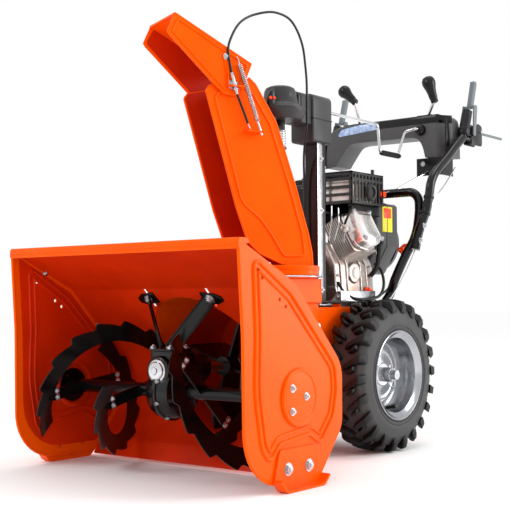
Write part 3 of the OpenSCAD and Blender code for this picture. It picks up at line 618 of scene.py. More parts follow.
@dataclass
class Housing:
    """Pressed housing of the auger: beads, bearing bosses, bolts and lip."""

    half_width: float = 358.0
    auger_y: float = -606.0
    auger_z: float = 190.0
    boss_radius: float = 62.0

    def panel_outline(self) -> list[tuple[float, float]]:
        """Return the outline that the side plate's double bead follows, as (Y, Z)."""
        return rounded([(-752, 494, 14), (-744, 330, 400), (-748, 210, 300), (-726, 96, 60), (-700, 66, 14),
                        (-664, 100, 16), (-560, 112, 24), (-516, 88, 16), (-466, 142, 50), (-452, 200, 60),
                        (-456, 256, 60), (-624, 418, 26)], 6)

    def build(self) -> None:
        """Build every piece of the housing."""
        outline = self.panel_outline()
        for side, label in ((1, "left"), (-1, "right")):
            x = side * (self.half_width + 0.2)
            for k, (distance, radius) in enumerate(((0, 4.6), (16, 3.6))):
                Shape().tube(bead(inset(outline, distance), x, radius), radius, 10).build(
                    f"side_bead_{label}_{k}", ORANGE_ENAMEL, "chassis")
            self._boss(side, label)
            self._edge_flange(side, label)
            self._liner(side, label)
        self._drum()
        self._bolts()
        self._lip()

    def _boss(self, side: int, label: str) -> None:
        """Round pressing that stiffens the plate at the bearing."""
        r = self.boss_radius
        profile = [(0, 5.5), (r - 13, 5.5), (r - 9, 5.2), (r - 6, 4.0), (r - 3, 1.8), (r, 0.4), (r, -1), (0, -1)]
        Shape().lathe(profile, (side * self.half_width, self.auger_y + 10, self.auger_z + 3), (side, 0, 0), 72).build(
            f"bearing_boss_{label}", ORANGE_ENAMEL, "chassis")
        ring = [(r - 10, 0), (r - 8, 4), (r - 4, 5.6), (r, 4), (r + 2, 0)]
        Shape().lathe(ring, (side * (self.half_width + 1), self.auger_y + 10, self.auger_z + 3), (side, 0, 0), 72,
                      ring=True).build(f"boss_ring_{label}", ORANGE_ENAMEL, "chassis")

    def _liner(self, side: int, label: str) -> None:
        """Inner face of the side plate, with the back of its beads, in the darker enamel that is painted shade.

        Args:
            side: 1 for the machine's left, -1 for its right.
            label: the same in words.
        """
        x = side * (self.half_width - 4.3)
        slits: list[Point] = []
        for y, z in ((-640, 389), (-661, 404), (-721, 450)):
            top = 424 + (-612 - y) * 81 / 160
            turns = [math.radians(2 + 356 * k / 16) for k in range(17)]
            slits += [(y + 0.15, top, 0), *((y + 5 * math.sin(a), z + 5 * math.cos(a), 0) for a in turns),
                      (y - 0.15, top, 0)]
        face = rounded([(-779, 508, 4), (-766, 330, 400), (-760, 40, 118), (-520, 40, 24), (-450, 124, 60),
                        (-446, 256, 70), (-612, 424, 30), *slits, (-772, 505, 8)], 6)
        Shape().prism(face, Axis.X, min(x, x - side * 0.4), max(x, x - side * 0.4)).build(
            f"plate_shaded_liner_{label}", SHADED_INNER_ENAMEL, "chassis")
        for k, distance in enumerate((4, 20)):
            Shape().tube(bead(inset(self.panel_outline(), distance), x - side * 0.6, 2), 3.2, 10).build(
                f"shaded_liner_bead_{label}_{k}", SHADED_INNER_ENAMEL, "chassis")
        boss = [(r, h) for r, h in ((0, 1), (46, 1), (50, 4), (56, 4.4), (60, 2), (62, -1), (0, -1))]
        Shape().lathe(boss, (x, self.auger_y + 10, self.auger_z + 3), (-side, 0, 0), 64).build(
            f"shaded_liner_boss_{label}", SHADED_INNER_ENAMEL, "chassis")

    def _drum(self) -> None:
        """Impeller drum, its rear plate and the square neck under the chute."""
        rings = []
        for k in range(96):
            u, v = math.cos(2 * math.pi * k / 96), math.sin(2 * math.pi * k / 96)
            front = -430 - max(0, 175 * v - 17) * 172 / 177
            rings.append([(r * u, y, 240 + r * v) for r, y in
                          ((175, front), (175, -238), (181, -236), (181, -232), (14, -231), (14, -235),
                           (172, -236), (171.4, front))])
        Shape().loft(rings, loop=True).build("impeller_drum", ORANGE_ENAMEL, "chassis", ("impeller_housing",),
                                             smooth=40)
        # The drum's inner back plate takes the darker inner enamel: painted shade inside the drum.
        back = [(14, 0), (168, 0), (170.6, 3), (170.6, 180), (171.2, 180), (171.2, -0.4), (14, -0.4)]
        Shape().lathe(back, (0, -237, 240), (0, -1, 0), 96, ring=True).build(
            "shaded_drum_liner", SHADED_INNER_ENAMEL, "chassis", smooth=40)
        neck = Shape()
        low, high = 396, 457
        for a, b in (((20, -388), (160, -384)), ((20, -224), (160, -220)), ((20, -388), (24, -220)),
                     ((156, -388), (160, -220))):
            neck.block((a[0], a[1], low), (b[0], b[1], high))
        neck.lathe([(79, 0), (92, 0), (92, 6), (79, 6)], (90, -300, 457), (0, 0, 1), 96, ring=True)
        neck.build("spout_neck", ORANGE_ENAMEL, "chassis", bevel=1.6)
        chin = Shape().block((26, -382, 330), (154, -226, 397))
        chin.build("neck_skirt", ORANGE_ENAMEL, "chassis", bevel=2)

    def _edge_flange(self, side: int, label: str) -> None:
        """Rolled front edge of the side plate."""
        path = [(side * (self.half_width - 2), y, z) for y, z in
                rounded([(-798, 522, 0), (-784, 330, 400), (-779, 18, 116), (-600, 18, 0)], 12, closed=False)]
        Shape().tube(path, 3.6, 12).build(f"front_roll_{label}", ORANGE_ENAMEL, "chassis")

    def _bolts(self) -> None:
        """Zinc bolts of the bearings, the shoes and the wall seams."""
        heads = Shape()
        for side in (-1, 1):
            for y, z in ((-625, 214), (-575, 194), (-625, 165)):
                heads.bolt((side * (self.half_width + 5.4), y, z), (side, 0, 0), 6.6, 5.4)
            for y in (-642, -567):
                heads.bolt((side * (self.half_width + 5.6), y, 46), (side, 0, 0), 10.5, 7)
            for y, z in ((-520, 350), (-445, 170), (-700, 482)):
                heads.bolt((side * (self.half_width - 4.2), y + 6, z - 8), (-side, 0, 0), 6.5, 4.5)
            heads.bolt((side * 98, -587, 406.3), (0, -0.717, -0.697), 10.0, 7)
        heads.build("housing_bolts", ZINC, "chassis", ("housing_fasteners",))

    def _lip(self) -> None:
        """Half-round bead along the housing's top lip and a crease under it."""
        x = self.half_width - 2
        for k, (y, z, radius) in enumerate(((-797.5, 527, 3.6), (-801, 518, 1.8), (-800, 509.5, 2.6))):
            Shape().tube([(-x, y, z), (x, y, z)], radius, 12).build(f"lip_roll_{k}", ORANGE_ENAMEL, "chassis")
        # The crease under the lip takes the darker inner enamel: painted shade in the crease.
        Shape().tube([(-x + 24, -640, 452), (x - 24, -640, 452)], 2.4, 10).build("shaded_wall_crease", SHADED_INNER_ENAMEL, "chassis")


# ---------------------------------------------------------------- auger and gear case


@dataclass
class Auger:
    """Toothed ribbon flights, their bolts and the gear case between them."""

    axis_y: float = -606.0
    axis_z: float = 190.0
    outer: float = 164.0
    inner: float = 114.0
    pitch: float = 1.1
    turn: float = 234.0
    tooth: float = 24.0
    depth: float = 14.0

    def build(self) -> None:
        """Build the flights, the arm bolts and the gear case."""
        for side, label, phases in ((1, "left", (-10, 170)), (-1, "right", (228, 48))):
            flight = Shape()
            for phase in phases:
                flight.loft(self._ribbon(side, phase))
            flight.build(f"toothed_flight_{label}", BLACK_ENAMEL, "auger", (f"auger_flight_{label}",), smooth=24)
            self._arm_bolts(side, label, phases)
        self._gear_case()
        self._bracket()

    def _ribbon(self, side: int, phase: float) -> list[list[Point]]:
        """Rings of one ribbon.

        Args:
            side: 1 for the machine's left flight, -1 for its right one.
            phase: angle of its outer end, in degrees.

        Returns:
            Sections from the side plate to the gear case, four points each.
        """
        rings = []
        steps = 156
        for i in range(steps + 1):
            swept = self.turn * i / steps
            saw = (swept % self.tooth) / self.tooth
            outer = self.outer - self.depth * min(saw / 0.86, (1 - saw) / 0.14)
            a = math.radians(phase - swept)
            x = side * (337 - self.pitch * swept)
            rings.append([(x + dx, self.axis_y + r * math.cos(a), self.axis_z + r * math.sin(a))
                          for r, dx in ((outer, -1.6), (outer, 1.6), (self.inner, 2.0), (self.inner, -2.0))])
        return rings

    def _arm_bolts(self, side: int, label: str, phases: Sequence[float]) -> None:
        """Hexagon bolts that hold each ribbon to its arms."""
        bolts = Shape()
        for phase in phases:
            for swept in (40, 215):
                a = math.radians(phase - swept)
                x = side * (337 - self.pitch * swept)
                for r, offset in ((103, -8), (103, 8)):
                    y = self.axis_y + r * math.cos(a) - offset * math.sin(a)
                    z = self.axis_z + r * math.sin(a) + offset * math.cos(a)
                    bolts.bolt((x + 3, y, z), (1, 0, 0), 6, 4)
        bolts.build(f"flight_bolts_{label}", ZINC, "auger")

    def _bracket(self) -> None:
        """V bracket that hangs the gear case from the housing's sloping wall."""
        slope = Vector((0, 0.697, -0.717))
        face = Vector((0, -0.717, -0.697))
        for side, label in ((1, "left"), (-1, "right")):
            foot = Vector((side * 98, -585, 408))
            start = Vector((side * 14, -628, 290))
            run = (foot - start).normalized()
            across = run.cross(face).normalized()
            rings = []
            for share, half in ((0, 16), (0.2, 15), (0.5, 14), (0.85, 15), (1.0, 19)):
                middle = start + (foot - start) * share
                rings.append([middle + across * half + face * 2, middle - across * half + face * 2,
                              middle - across * half - face * 2, middle + across * half - face * 2])
            plate = Shape().loft(rings)
            spade = [(-24, -16), (16, -16), (34, -8), (36, 6), (18, 17), (-24, 17)]
            out = Vector((side, 0, 0)) + slope * 0.12
            out.normalize()
            wide = out.cross(face).normalized()
            plate.loft([[foot + out * u + wide * v + face * w for u, v in spade] for w in (-2.2, 2.2)])
            for sign in (-1, 1):
                plate.tube([start + across * 15 * sign + face * 3, foot + across * 15 * sign + face * 3], 2.2, 8)
            plate.build(f"bracket_plate_{label}", BLACK_ENAMEL, "chassis",
                        ("gearcase_bracket",) if side > 0 else (), bevel=0.9)
        seat = Shape().block((-36, -652, 285), (36, -580, 291))
        seat.build("bracket_seat", BLACK_ENAMEL, "chassis", bevel=1.5)
        bolts = Shape()
        for x, y in ((-27, -644), (27, -644), (27, -590), (-27, -590)):
            bolts.bolt((x, y, 291), (0, 0, 1), 7, 6)
        bolts.build("bracket_bolts", ZINC, "chassis")

    def _gear_case(self) -> None:
        """Cast gear case with its flange, ribs, cover bolts and bright front cap."""
        case = Shape()
        centre = (0, self.axis_y, self.axis_z)
        profile = [(0, -54), (22, -54), (26, -50), (27, -40), (44, -38), (58, -33), (63, -24), (64, -6), (69, -5),
                   (69, 5), (64, 6), (63, 24), (58, 33), (44, 38), (27, 40), (26, 50), (22, 54), (0, 54)]
        case.prism(rounded([(-38, 200, 4), (38, 200, 4), (38, 286, 8), (-38, 286, 8)], 4), Axis.Y, -642, -570)
        case.lathe(profile, centre, (1, 0, 0), 72)
        tube = [(0, -55), (30, -55), (34, -52), (35, -40), (33, -36), (33, 66), (36, 70), (36, 96), (30, 104),
                (0, 104)]
        case.lathe(tube, (0, -606, 240), (0, 1, 0), 56)
        for k in range(6):
            a = math.radians(60 * k + 20)
            for side in (-1, 1):
                case.tube([(side * 34, self.axis_y + 54 * math.cos(a), self.axis_z + 54 * math.sin(a)),
                           (side * 46, self.axis_y + 26 * math.cos(a), self.axis_z + 26 * math.sin(a))], 4, 8)
        case.build("cast_gear_case", GEARCASE_BLACK, "chassis", ("auger_gearcase",), bevel=0.8)
        bolts = Shape()
        for k in range(8):
            a = math.radians(45 * k + 22)
            bolts.bolt((5, self.axis_y + 66 * math.cos(a), self.axis_z + 66 * math.sin(a)), (1, 0, 0), 4.5, 4)
        bolts.build("gear_case_bolts", ZINC, "chassis")
        cap = [(0, 66), (8, 66), (9, 63.5), (19, 63), (21.5, 61), (22, 57), (26, 56.5), (27.2, 54), (27, 52), (0, 52)]
        Shape().lathe(cap, (0, -606, 240), (0, -1, 0), 56).build("bright_front_cap", CHROME, "chassis",
                                                                 ("gearcase_cap",))


# ---------------------------------------------------------------- chute


@dataclass
class Chute:
    """Discharge chute with its deflector, springs, cable and drive."""

    half: float = 62.0
    cap_half: float = 71.0

    def wall_outline(self) -> list[tuple[float, float]]:
        """Return the outline of a chute wall, as (Y, Z) of the chute's own frame."""
        return rounded([(55, 487, 4), (53, 522, 30), (44, 566, 60), (7, 686, 80), (-50, 846, 60), (-108, 934, 20),
                        (-126, 948, 6), (-236, 922, 10), (-244, 908, 8), (-206, 780, 200), (-162, 630, 100),
                        (-131, 548, 40), (-98, 519, 30), (-15, 487, 20)], 5)

    def back_path(self, lift: float = 0.0) -> list[tuple[float, float]]:
        """Return the line of the chute's back, as (Y, Z), moved out by lift."""
        line = rounded([(56, 487, 0), (54, 522, 30), (44, 566, 60), (7, 686, 80), (-50, 846, 60), (-108, 934, 20),
                        (-126, 948, 0)], 6, closed=False)
        return [(y + lift, z) for y, z in line]

    def build(self) -> None:
        """Build every piece of the chute."""
        panel = inset(rounded([(34, 512, 12), (26, 572, 60), (-10, 686, 80), (-66, 840, 60), (-112, 908, 20),
                               (-140, 924, 10), (-214, 906, 14), (-222, 890, 10), (-190, 780, 200), (-150, 640, 60),
                               (-96, 600, 40), (-64, 560, 40), (-30, 510, 20)], 6), 2)
        for side, label in ((1, "left"), (-1, "right")):
            Shape().tube(bead(panel, side * (self.half + 0.2), 2.2), 3.3, 10).build(
                f"chute_bead_{label}", ORANGE_ENAMEL, "chute_body", place=CHUTE_FRAME)
            rear = [(side * (self.half - 2.6), y - 1, z) for y, z in self.back_path(0)]
            Shape().tube(rear, 4.2, 12).build(f"chute_corner_{label}", ORANGE_ENAMEL, "chute_body", place=CHUTE_FRAME)
            rim = [(side * (self.half - 1.5), y, z) for y, z in
                   rounded([(-236, 916, 0), (-244, 908, 8), (-206, 780, 200), (-162, 630, 100), (-131, 548, 40),
                            (-98, 519, 30), (-30, 492, 0)], 6, closed=False)]
            Shape().tube(rim, 2.8, 10).build(f"chute_rim_{label}", ORANGE_ENAMEL, "chute_body", place=CHUTE_FRAME)
            self._pivot(side, label)
        self._throat()
        self._deflector()
        self._spring()
        self._cable()
        self._base()
        self._drive()

    def _throat(self) -> None:
        """Inside of the chute in a deeper colour that is painted shade: its back and its two walls."""
        x = self.half - 3.4
        path = [(y - 3.6, z) for y, z in self.back_path()]
        back = [[(-x, y, z), (x, y, z), (x, y - 0.4, z), (-x, y - 0.4, z)] for y, z in path[1:-2]]
        Shape().loft(back).build("shaded_throat_back", SHADED_THROAT_ENAMEL, "chute_body", place=CHUTE_FRAME, smooth=50)
        wall = inset(self.wall_outline(), 3)
        for side, label in ((1, "left"), (-1, "right")):
            inner = side * (self.half - 3.3)
            Shape().prism(wall, Axis.X, min(inner, inner - side * 0.3), max(inner, inner - side * 0.3)).build(
                f"shaded_throat_wall_{label}", SHADED_THROAT_ENAMEL, "chute_body", place=CHUTE_FRAME)

    def _pivot(self, side: int, label: str) -> None:
        """Bolt that the deflector swings on, with its broad washer."""
        x = side * (self.half + 9.4)
        Shape().lathe([(0, -1), (13, -1), (13, 1), (11, 1.6), (0, 1.6)], (x, -178, 925), (side, 0, 0), 32).bolt(
            (x + side * 1.4, -178, 925), (side, 0, 0), 8.5, 6).build(
            f"pivot_bolt_{label}", ZINC, "chute_body", place=CHUTE_FRAME)

    def _deflector(self) -> None:
        """Beads, rolled lip and hinge strap of the deflector cap."""
        wall = rounded([(-322, 1068, 4), (-338, 1038, 6), (-226, 936, 20), (-200, 914, 12), (-166, 912, 14),
                        (-150, 940, 20), (-137, 976, 6), (-207, 1010, 10)], 6)
        for side, label in ((1, "left"), (-1, "right")):
            x = side * (self.cap_half + 0.2)
            Shape().tube(bead(wall, x, 2), 2.8, 10).build(
                f"deflector_bead_{label}", ORANGE_ENAMEL, "deflector_body", place=CHUTE_FRAME)
            ridge = [(side * (self.cap_half - 2.4), y, z) for y, z in ((-124, 980.5), (-207, 1021), (-331, 1081.5))]
            Shape().tube(ridge, 3.4, 12).build(
                f"deflector_corner_{label}", ORANGE_ENAMEL, "deflector_body", place=CHUTE_FRAME)
            # Inner faces of the cap take the deep throat enamel: painted shade inside the deflector.
            face = inset(wall, -5)
            inner = side * (self.cap_half - 3.4)
            Shape().prism(face, Axis.X, min(inner, inner - side * 0.3), max(inner, inner - side * 0.3)).build(
                f"shaded_deflector_liner_{label}", SHADED_THROAT_ENAMEL, "deflector_body", place=CHUTE_FRAME)
        lip = [(-self.cap_half + 2, -331.5, 1080), (self.cap_half - 2, -331.5, 1080)]
        Shape().tube(lip, 3.2, 12).build("deflector_lip", ORANGE_ENAMEL, "deflector_body", place=CHUTE_FRAME)
        strap = Shape().prism(rounded([(-196, 946, 5), (-204, 1000, 5), (-190, 1003, 5), (-180, 946, 5)], 4),
                              Axis.X, self.cap_half, self.cap_half + 2.4)
        strap.build("hinge_strap", ORANGE_ENAMEL, "deflector_body", bevel=0.6, place=CHUTE_FRAME)
        Shape().bolt((self.cap_half + 2.4, -196, 992), (1, 0, 0), 6, 4).build(
            "strap_bolt", ZINC, "deflector_body", place=CHUTE_FRAME)

    def _spring(self) -> None:
        """Close-wound lift spring between the chute's tab and the deflector."""
        top, foot = (80, -163, 976), (80, -113, 840)
        coil = Shape().tube(helix(foot, top, 5.2, 34), 1.35, 6)
        coil.tube([foot, (80, -100.4, 806)], 3.2, 12)
        coil.tube([top, (80, -167, 988), (75, -168, 994)], 1.6, 8)
        coil.build("lift_spring", ZINC, "chute_body", ("deflector_spring",), place=CHUTE_FRAME)

    def _cable(self) -> None:
        """Control cable, its adjuster and the bare wire that pulls the deflector."""
        route = [(206, 372, 832), (222, 330, 806), (225, 282, 772), (224, 240, 736), (222, 226, 700), (217, 218, 660),
                 (208, 212, 628), (196, 210, 590), (158, 206, 530), (132, 186, 462), (126, 130, 420), (130, 30, 398),
                 (130, -60, 397), (124, -120, 397), (128, -150, 398), (110, -184, 404), (82, -182, 440),
                 (80, -182, 560), (80, -182, 700), (86, -192, 770), (106, -216, 806), (126, -234, 850),
                 (129, -237, 900), (130, -238, 960), (131, -245, 1007), (134, -260, 1054),
                 (136, -287, 1091), (132, -315, 1116), (124, -352, 1124.5), (113, -385, 1122), (96.5, -431, 1105),
                 (91, -469, 1078), (88.6, -496, 1038), (88.7, -506, 1005), (94.1, -500.6, 952.4)]
        cable = Shape().tube(spline(route, 6), 3.0, 10).build(
            "control_cable", CABLE_VINYL, "chassis", ("deflector_cable", "cable_lead"), carrier=False)
        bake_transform(cable)
        adjuster = Shape()
        adjuster.tube([(79, -184.5, 953), (79, -174.4, 922), (79, -169, 901)], [4.4, 4.4, 3.6], 14)
        adjuster.lathe([(0, 0), (8.5, 0), (8.5, 5), (0, 5)], (79, -175.4, 923.5), (0, -0.3, 1), 6)
        adjuster.lathe([(0, 0), (8.5, 0), (8.5, 5), (0, 5)], (79, -172.2, 911), (0, -0.3, 1), 6)
        adjuster.build("cable_adjuster", ZINC, "deflector_body", bevel=0.4, place=CHUTE_FRAME)
        Shape().tube([(79, -169.4, 902), (79, -153, 866), (79, -139, 832)], 3.0, 12).build(
            "wire_sleeve", CABLE_VINYL, "chute_body", place=CHUTE_FRAME)
        Shape().tube([(79, -139, 833), (79, -135, 824), (78, -131, 818)], 1.3, 8).build(
            "pull_wire", CHROME, "chute_body", place=CHUTE_FRAME)

    def _base(self) -> None:
        """Ring plate that the chute turns on, and the collar at the chute's foot."""
        ring = [(84, 0), (104, 0), (105, 1), (105, 3), (104, 4), (84, 4)]
        Shape().lathe(ring, (90, -300, 459.5), (0, 0, 1), 96, ring=True).build("ring_plate", ZINC, "chassis")
        collar = [(82, 14), (97.5, 14), (98.6, 16), (98.6, 25), (97.5, 26), (82, 26)]
        Shape().lathe(collar, (0, 0, 463), (0, 0, 1), 96, ring=True).build(
            "chute_collar", ORANGE_ENAMEL, "chute_body", place=CHUTE_FRAME)

    def _drive(self) -> None:
        """Orange caps of the coupler, and the return spring under the gear."""
        for side, label in ((1, "left"), (-1, "right")):
            Shape().lathe([(0, 0), (9.4, 0), (9.4, 5), (7, 8), (0, 8.6)], (side * 19, -77, 905), (side, 0, 0), 28).build(
                f"coupler_cap_{label}", ORANGE_ABS, "chute_body", place=CHUTE_FRAME)
        Shape().tube(helix((0, 0, 792), (0, 0, 838), 12.5, 7), 1.8, 8).build(
            "gear_return_spring", ZINC, "chute_body", place=CHUTE_FRAME)
        Shape().lathe([(0, 0), (15, 0), (16, 2), (16, 5), (0, 5)], (0, 0, 788), (0, 0, 1), 32).build(
            "spring_seat", MOULDED_BLACK, "chute_body", place=CHUTE_FRAME)


@dataclass
class ChuteControl:
    """Post, gear cover and hand crank that turn the chute."""

    x: float = 93.0
    z: float = 912.0

    def build(self) -> None:
        """Build the cover, the crank and the post's fittings."""
        dome = Shape().lathe([(0, 862), (54, 862), (55.5, 863), (65, 882), (66, 885), (66, 891), (64, 893), (54, 897),
                              (47, 905), (43, 922), (41, 936), (37, 944), (29, 948.5), (0, 950)], (90, -300, 0),
                             (0, 0, 1), 80)
        dome.build("gear_dome", MOULDED_DARK, "chassis", ("gear_cover",))
        knob = rounded([(-55, 888, 2), (-55, 914, 8), (-50, 930, 6), (-40, 932, 6), (-36, 914, 6), (-36, 888, 2)], 4)
        Shape().prism(knob, Axis.X, 22, 38).build("coupler_knob", MOULDED_BLACK, "chassis", bevel=3,
                                                  place=CHUTE_FRAME)
        dots = Shape()
        for y in (-51, -40):
            dots.lathe([(0, -1), (4.2, -1), (4.2, 1.6), (2.6, 2.8), (0, 3)], (38, y, 911), (1, 0, 0), 24)
        dots.build("coupler_dots", ORANGE_ABS, "chassis", place=CHUTE_FRAME)
        body = Shape().prism(rounded([(49, 818, 8), (123, 818, 8), (123, 946, 16), (49, 946, 16)], 5), Axis.Y, -200, -112)
        body.build("gear_box_cover", MOULDED_DARK, "chassis", bevel=5, segments=3)
        neck = Shape().prism(rounded([(63, 862, 4), (117, 862, 4), (117, 944, 14), (63, 944, 14)], 5), Axis.Y, -256, -192)
        neck.build("gear_neck", MOULDED_DARK, "chassis", bevel=2)
        seam = Shape()
        seam.tube(bent([(49.5, -200.4, 880), (123.4, -200.4, 880), (123.4, -112, 880)], 3), 1.2, 8)
        seam.build("cover_seam", MOULDED_BLACK, "chassis")
        rod = bent([(self.x, -262, self.z), (self.x, 168, self.z), (self.x, 178, 832), (self.x, 292, 832)], 16, 8)
        crank = Shape().tube(rod, 4.4, 16)
        crank.lathe([(0, 0), (13, 0), (14, 1.5), (14, 15.5), (13, 17), (0, 17)], (self.x, -272, self.z), (0, 1, 0), 40)
        crank.build("crank", CHROME, "chute_crank", ("crank_rod",))
        self._grip()
        self._post()

    def _grip(self) -> None:
        """Ribbed grip that turns on the crank."""
        profile = [(4.6, 0), (6.4, 0)]
        for k in range(10):
            h = 4 + 10 * k
            profile += [(6.4, h), (7.8, h + 1.2), (8.2, h + 3), (7.8, h + 4.8), (6.4, h + 6)]
        profile += [(6.4, 104), (4.6, 104)]
        Shape().lathe(profile, (self.x, 184, 832), (0, 1, 0), 32, ring=True).build(
            "crank_sleeve", GRIP_VINYL, "crank_grip_body", ("crank_grip",))

    def _post(self) -> None:
        """Bolts and foot plate of the square post, and a bright zinc strip that is a painted highlight on its side."""
        fittings = Shape()
        for z in (778, 640, 430):
            fittings.bolt((self.x + 19, -150, z), (1, 0, 0), 5.5, 4)
        for y in (-170, -130):
            fittings.bolt((self.x + 24, y + 2, 390), (0, 0, 1), 6, 4)
        fittings.build("post_bolts", ZINC, "chassis")
        Shape().block((69, -177, 388), (124, -119, 392)).build("post_foot", ZINC, "chassis", bevel=1)
        # Painted highlight: a thin bright zinc strip along the post's side, where the white surround reflects.
        Shape().block((self.x + 19, -168, 394), (self.x + 20, -145, 860)).build(
            "post_painted_highlight_strip", ZINC, "chassis", bevel=0.3)


# ---------------------------------------------------------------- engine


@dataclass
class Engine:
    """Petrol engine: cases, fins, guard, shroud, starter and tank."""

    shaft_z: float = 478.0

    def head_frame(self) -> Matrix:
        """Return the frame of the leaning cylinder, Z out along its bore."""
        return Matrix.Translation((52, 34, 560)) @ Matrix.Rotation(math.radians(62), 4, "Y")

    def build(self) -> None:
        """Build every piece of the engine."""
        self._case()
        self._cylinder()
        self._muffler()
        self._shroud()
        self._starter()
        self._tank()
        self._base()
        self._small_parts()

    def _case(self) -> None:
        """Die-cast crankcase with its ribs, boss and oil plug."""
        outline = rounded([(-72, 391, 10), (74, 391, 14), (98, 424, 12), (92, 500, 20), (60, 562, 16),
                           (-72, 562, 16)], 5)
        case = Shape().prism(outline, Axis.Y, -60, 132)
        case.build("die_cast_case", ALUMINIUM_WARM_REFLECTION, "chassis", ("crankcase",), bevel=6, segments=3)
        ribs = Shape()
        for y in (-36, -6, 62, 92):
            ribs.prism([(60, 402), (84, 402), (102, 428), (97, 500), (68, 556), (60, 556)], Axis.Y, y - 2.5, y + 2.5)
        ribs.prism(rounded([(-66, 396, 4), (80, 396, 8), (103, 424, 8), (98, 440, 4), (-66, 440, 4)], 4), Axis.Y, -66, -58)
        ribs.build("case_ribs", ALUMINIUM_WARM_REFLECTION, "chassis", bevel=1.4)
        boss = Shape()
        boss.lathe([(0, 8), (14, 8), (15, 9), (26, 9), (29, 6), (31, 0), (31, -8), (0, -8)], (93, 28, 478), (1, 0, 0), 48)
        boss.lathe([(0, 12), (46, 12), (48, 10), (48, 0), (0, 0)], (0, -60, self.shaft_z), (0, -1, 0), 56)
        boss.lathe([(0, 26), (30, 26), (34, 22), (36, 0), (0, 0)], (0, -60, self.shaft_z), (0, -1, 0), 48)
        boss.build("case_bosses", ALUMINIUM_WARM_REFLECTION, "chassis", bevel=0.8)
        bolts = Shape()
        for y, z in ((-50, 410), (-50, 470), (-50, 532), (118, 410), (118, 470), (118, 532)):
            x = 98 if z < 440 else (92 if z < 500 else 72)
            bolts.bolt((x - 1, y, z), (1, 0, 0.2), 6, 5)
        bolts.build("case_bolts", ZINC, "chassis")
        plug = Shape().lathe([(0, 16), (10, 16), (12, 14), (12, 4), (15, 3), (15, 0), (0, 0)], (98, 90, 426), (1, 0, -0.3), 24)
        plug.build("oil_plug", ORANGE_ABS, "chassis")

    def _cylinder(self) -> None:
        """Finned barrel and the bright valve cover on it."""
        fins = Shape().lathe([(0, -4), (44, -4), (44, 62), (0, 62)], (0, 0, 0), (0, 0, 1), 48)
        for k in range(9):
            z = 2 + 6.8 * k
            fins.prism(rounded([(-58, -58, 12), (58, -58, 12), (58, 58, 12), (-58, 58, 12)], 4), Axis.Z, z, z + 2.6)
        fins.build("finned_barrel", ALUMINIUM_WARM_REFLECTION, "chassis", ("cylinder_block",), bevel=0.5,
                   place=self.head_frame())
        outline = rounded([(-56, -50, 20), (46, -50, 26), (58, 0, 30), (46, 50, 26), (-56, 50, 20)], 6)
        cover = Shape()
        flange = inset(outline, -2)
        cover.loft([[(x, y, 62) for x, y in flange], [(x, y, 69) for x, y in flange]])
        rings = [(0, 68), (0.5, 84), (3, 95), (8, 102), (15, 105), (24, 106)]
        cover.loft([[(x, y, z) for x, y in inset(outline, d)] for d, z in rings])
        cover.build("bright_valve_cover", POLISHED_CASTING, "chassis", ("valve_cover",), place=self.head_frame())
        bolts = Shape()
        for x, y in ((-46, -40), (38, -42), (-46, 40), (38, 42)):
            bolts.bolt((x, y, 100), (0, 0, 1), 6.5, 5)
        bolts.build("valve_cover_bolts", ZINC, "chassis", place=self.head_frame())
        plug = Shape().lathe([(0, 34), (5, 34), (6, 30), (6, 16), (9, 15), (9, 8), (11, 7), (11, 0), (0, 0)],
                             (104, -28, 596), (0.5, -0.8, 0.3), 24)
        plug.build("spark_plug", ALUMINIUM_WARM_REFLECTION, "chassis")
        Shape().tube(spline([(118, -50, 606), (130, -56, 622), (128, -30, 650), (104, 20, 662), (70, 110, 664),
                             (60, 150, 660)], 8), 3.4, 10).build("plug_lead", CABLE_VINYL, "chassis")

    def _muffler(self) -> None:
        """Rounded muffler can in its slotted guard."""
        can = rounded([(-18, 664, 24), (118, 664, 24), (118, 742, 24), (-18, 742, 24)], 6)
        Shape().prism(can, Axis.Y, -12, 118).build("muffler_can", HEATED_STEEL, "chassis", ("muffler",), bevel=8,
                                                   segments=3)
        guard = Shape()
        x0, x1, y0, y1, z0, z1 = -30, 130, -30, 134, 668, 756
        for z in (z0, z0 + 21, z0 + 42, z0 + 63, z1 - 7):
            guard.block((x0, y0, z), (x1, y0 + 3, z + 8))
        for x in (x0, 34, x1 - 9):
            guard.block((x, y0 + 0.4, z0), (x + 9, y0 + 3.4, z1))
        for k in range(10):
            y = y0 + (y1 - y0 - 7) * k / 9
            guard.block((x1 - 3, y, z0), (x1, y + 7, z1))
        for z in (z0, z1 - 24, z1 - 7):
            guard.block((x1 - 3.2, y0, z), (x1 - 0.2, y1, z + 7))
        for k in range(8):
            x = x0 + (x1 - x0 - 9) * k / 7
            guard.block((x, y0, z1 - 3), (x + 9, y1, z1))
        for y in (y0, 48, y1 - 12):
            guard.block((x0, y, z1 - 2.8), (x1, y + 12, z1 + 0.2))
        guard.block((x0, y0, z0), (x0 + 3, y1, z1))
        guard.block((x0, y1 - 3, z0), (x1, y1, z1))
        guard.build("slotted_guard", HEAT_PAINT, "chassis", ("muffler_guard",), bevel=0.7)
        pins = Shape()
        for x, y in ((30, -24), (118, 96)):
            pins.lathe([(0, 16), (4, 16), (5, 14), (5, 0), (0, 0)], (x, y, 755), (0, 0, 1), 16)
        pins.lathe([(0, 3), (13, 3), (14, 8), (19, 9), (23, 6), (25, 0), (0, 0)], (130, 66, 704), (1, 0, 0), 40)
        pins.build("guard_pins", HEAT_PAINT, "chassis")

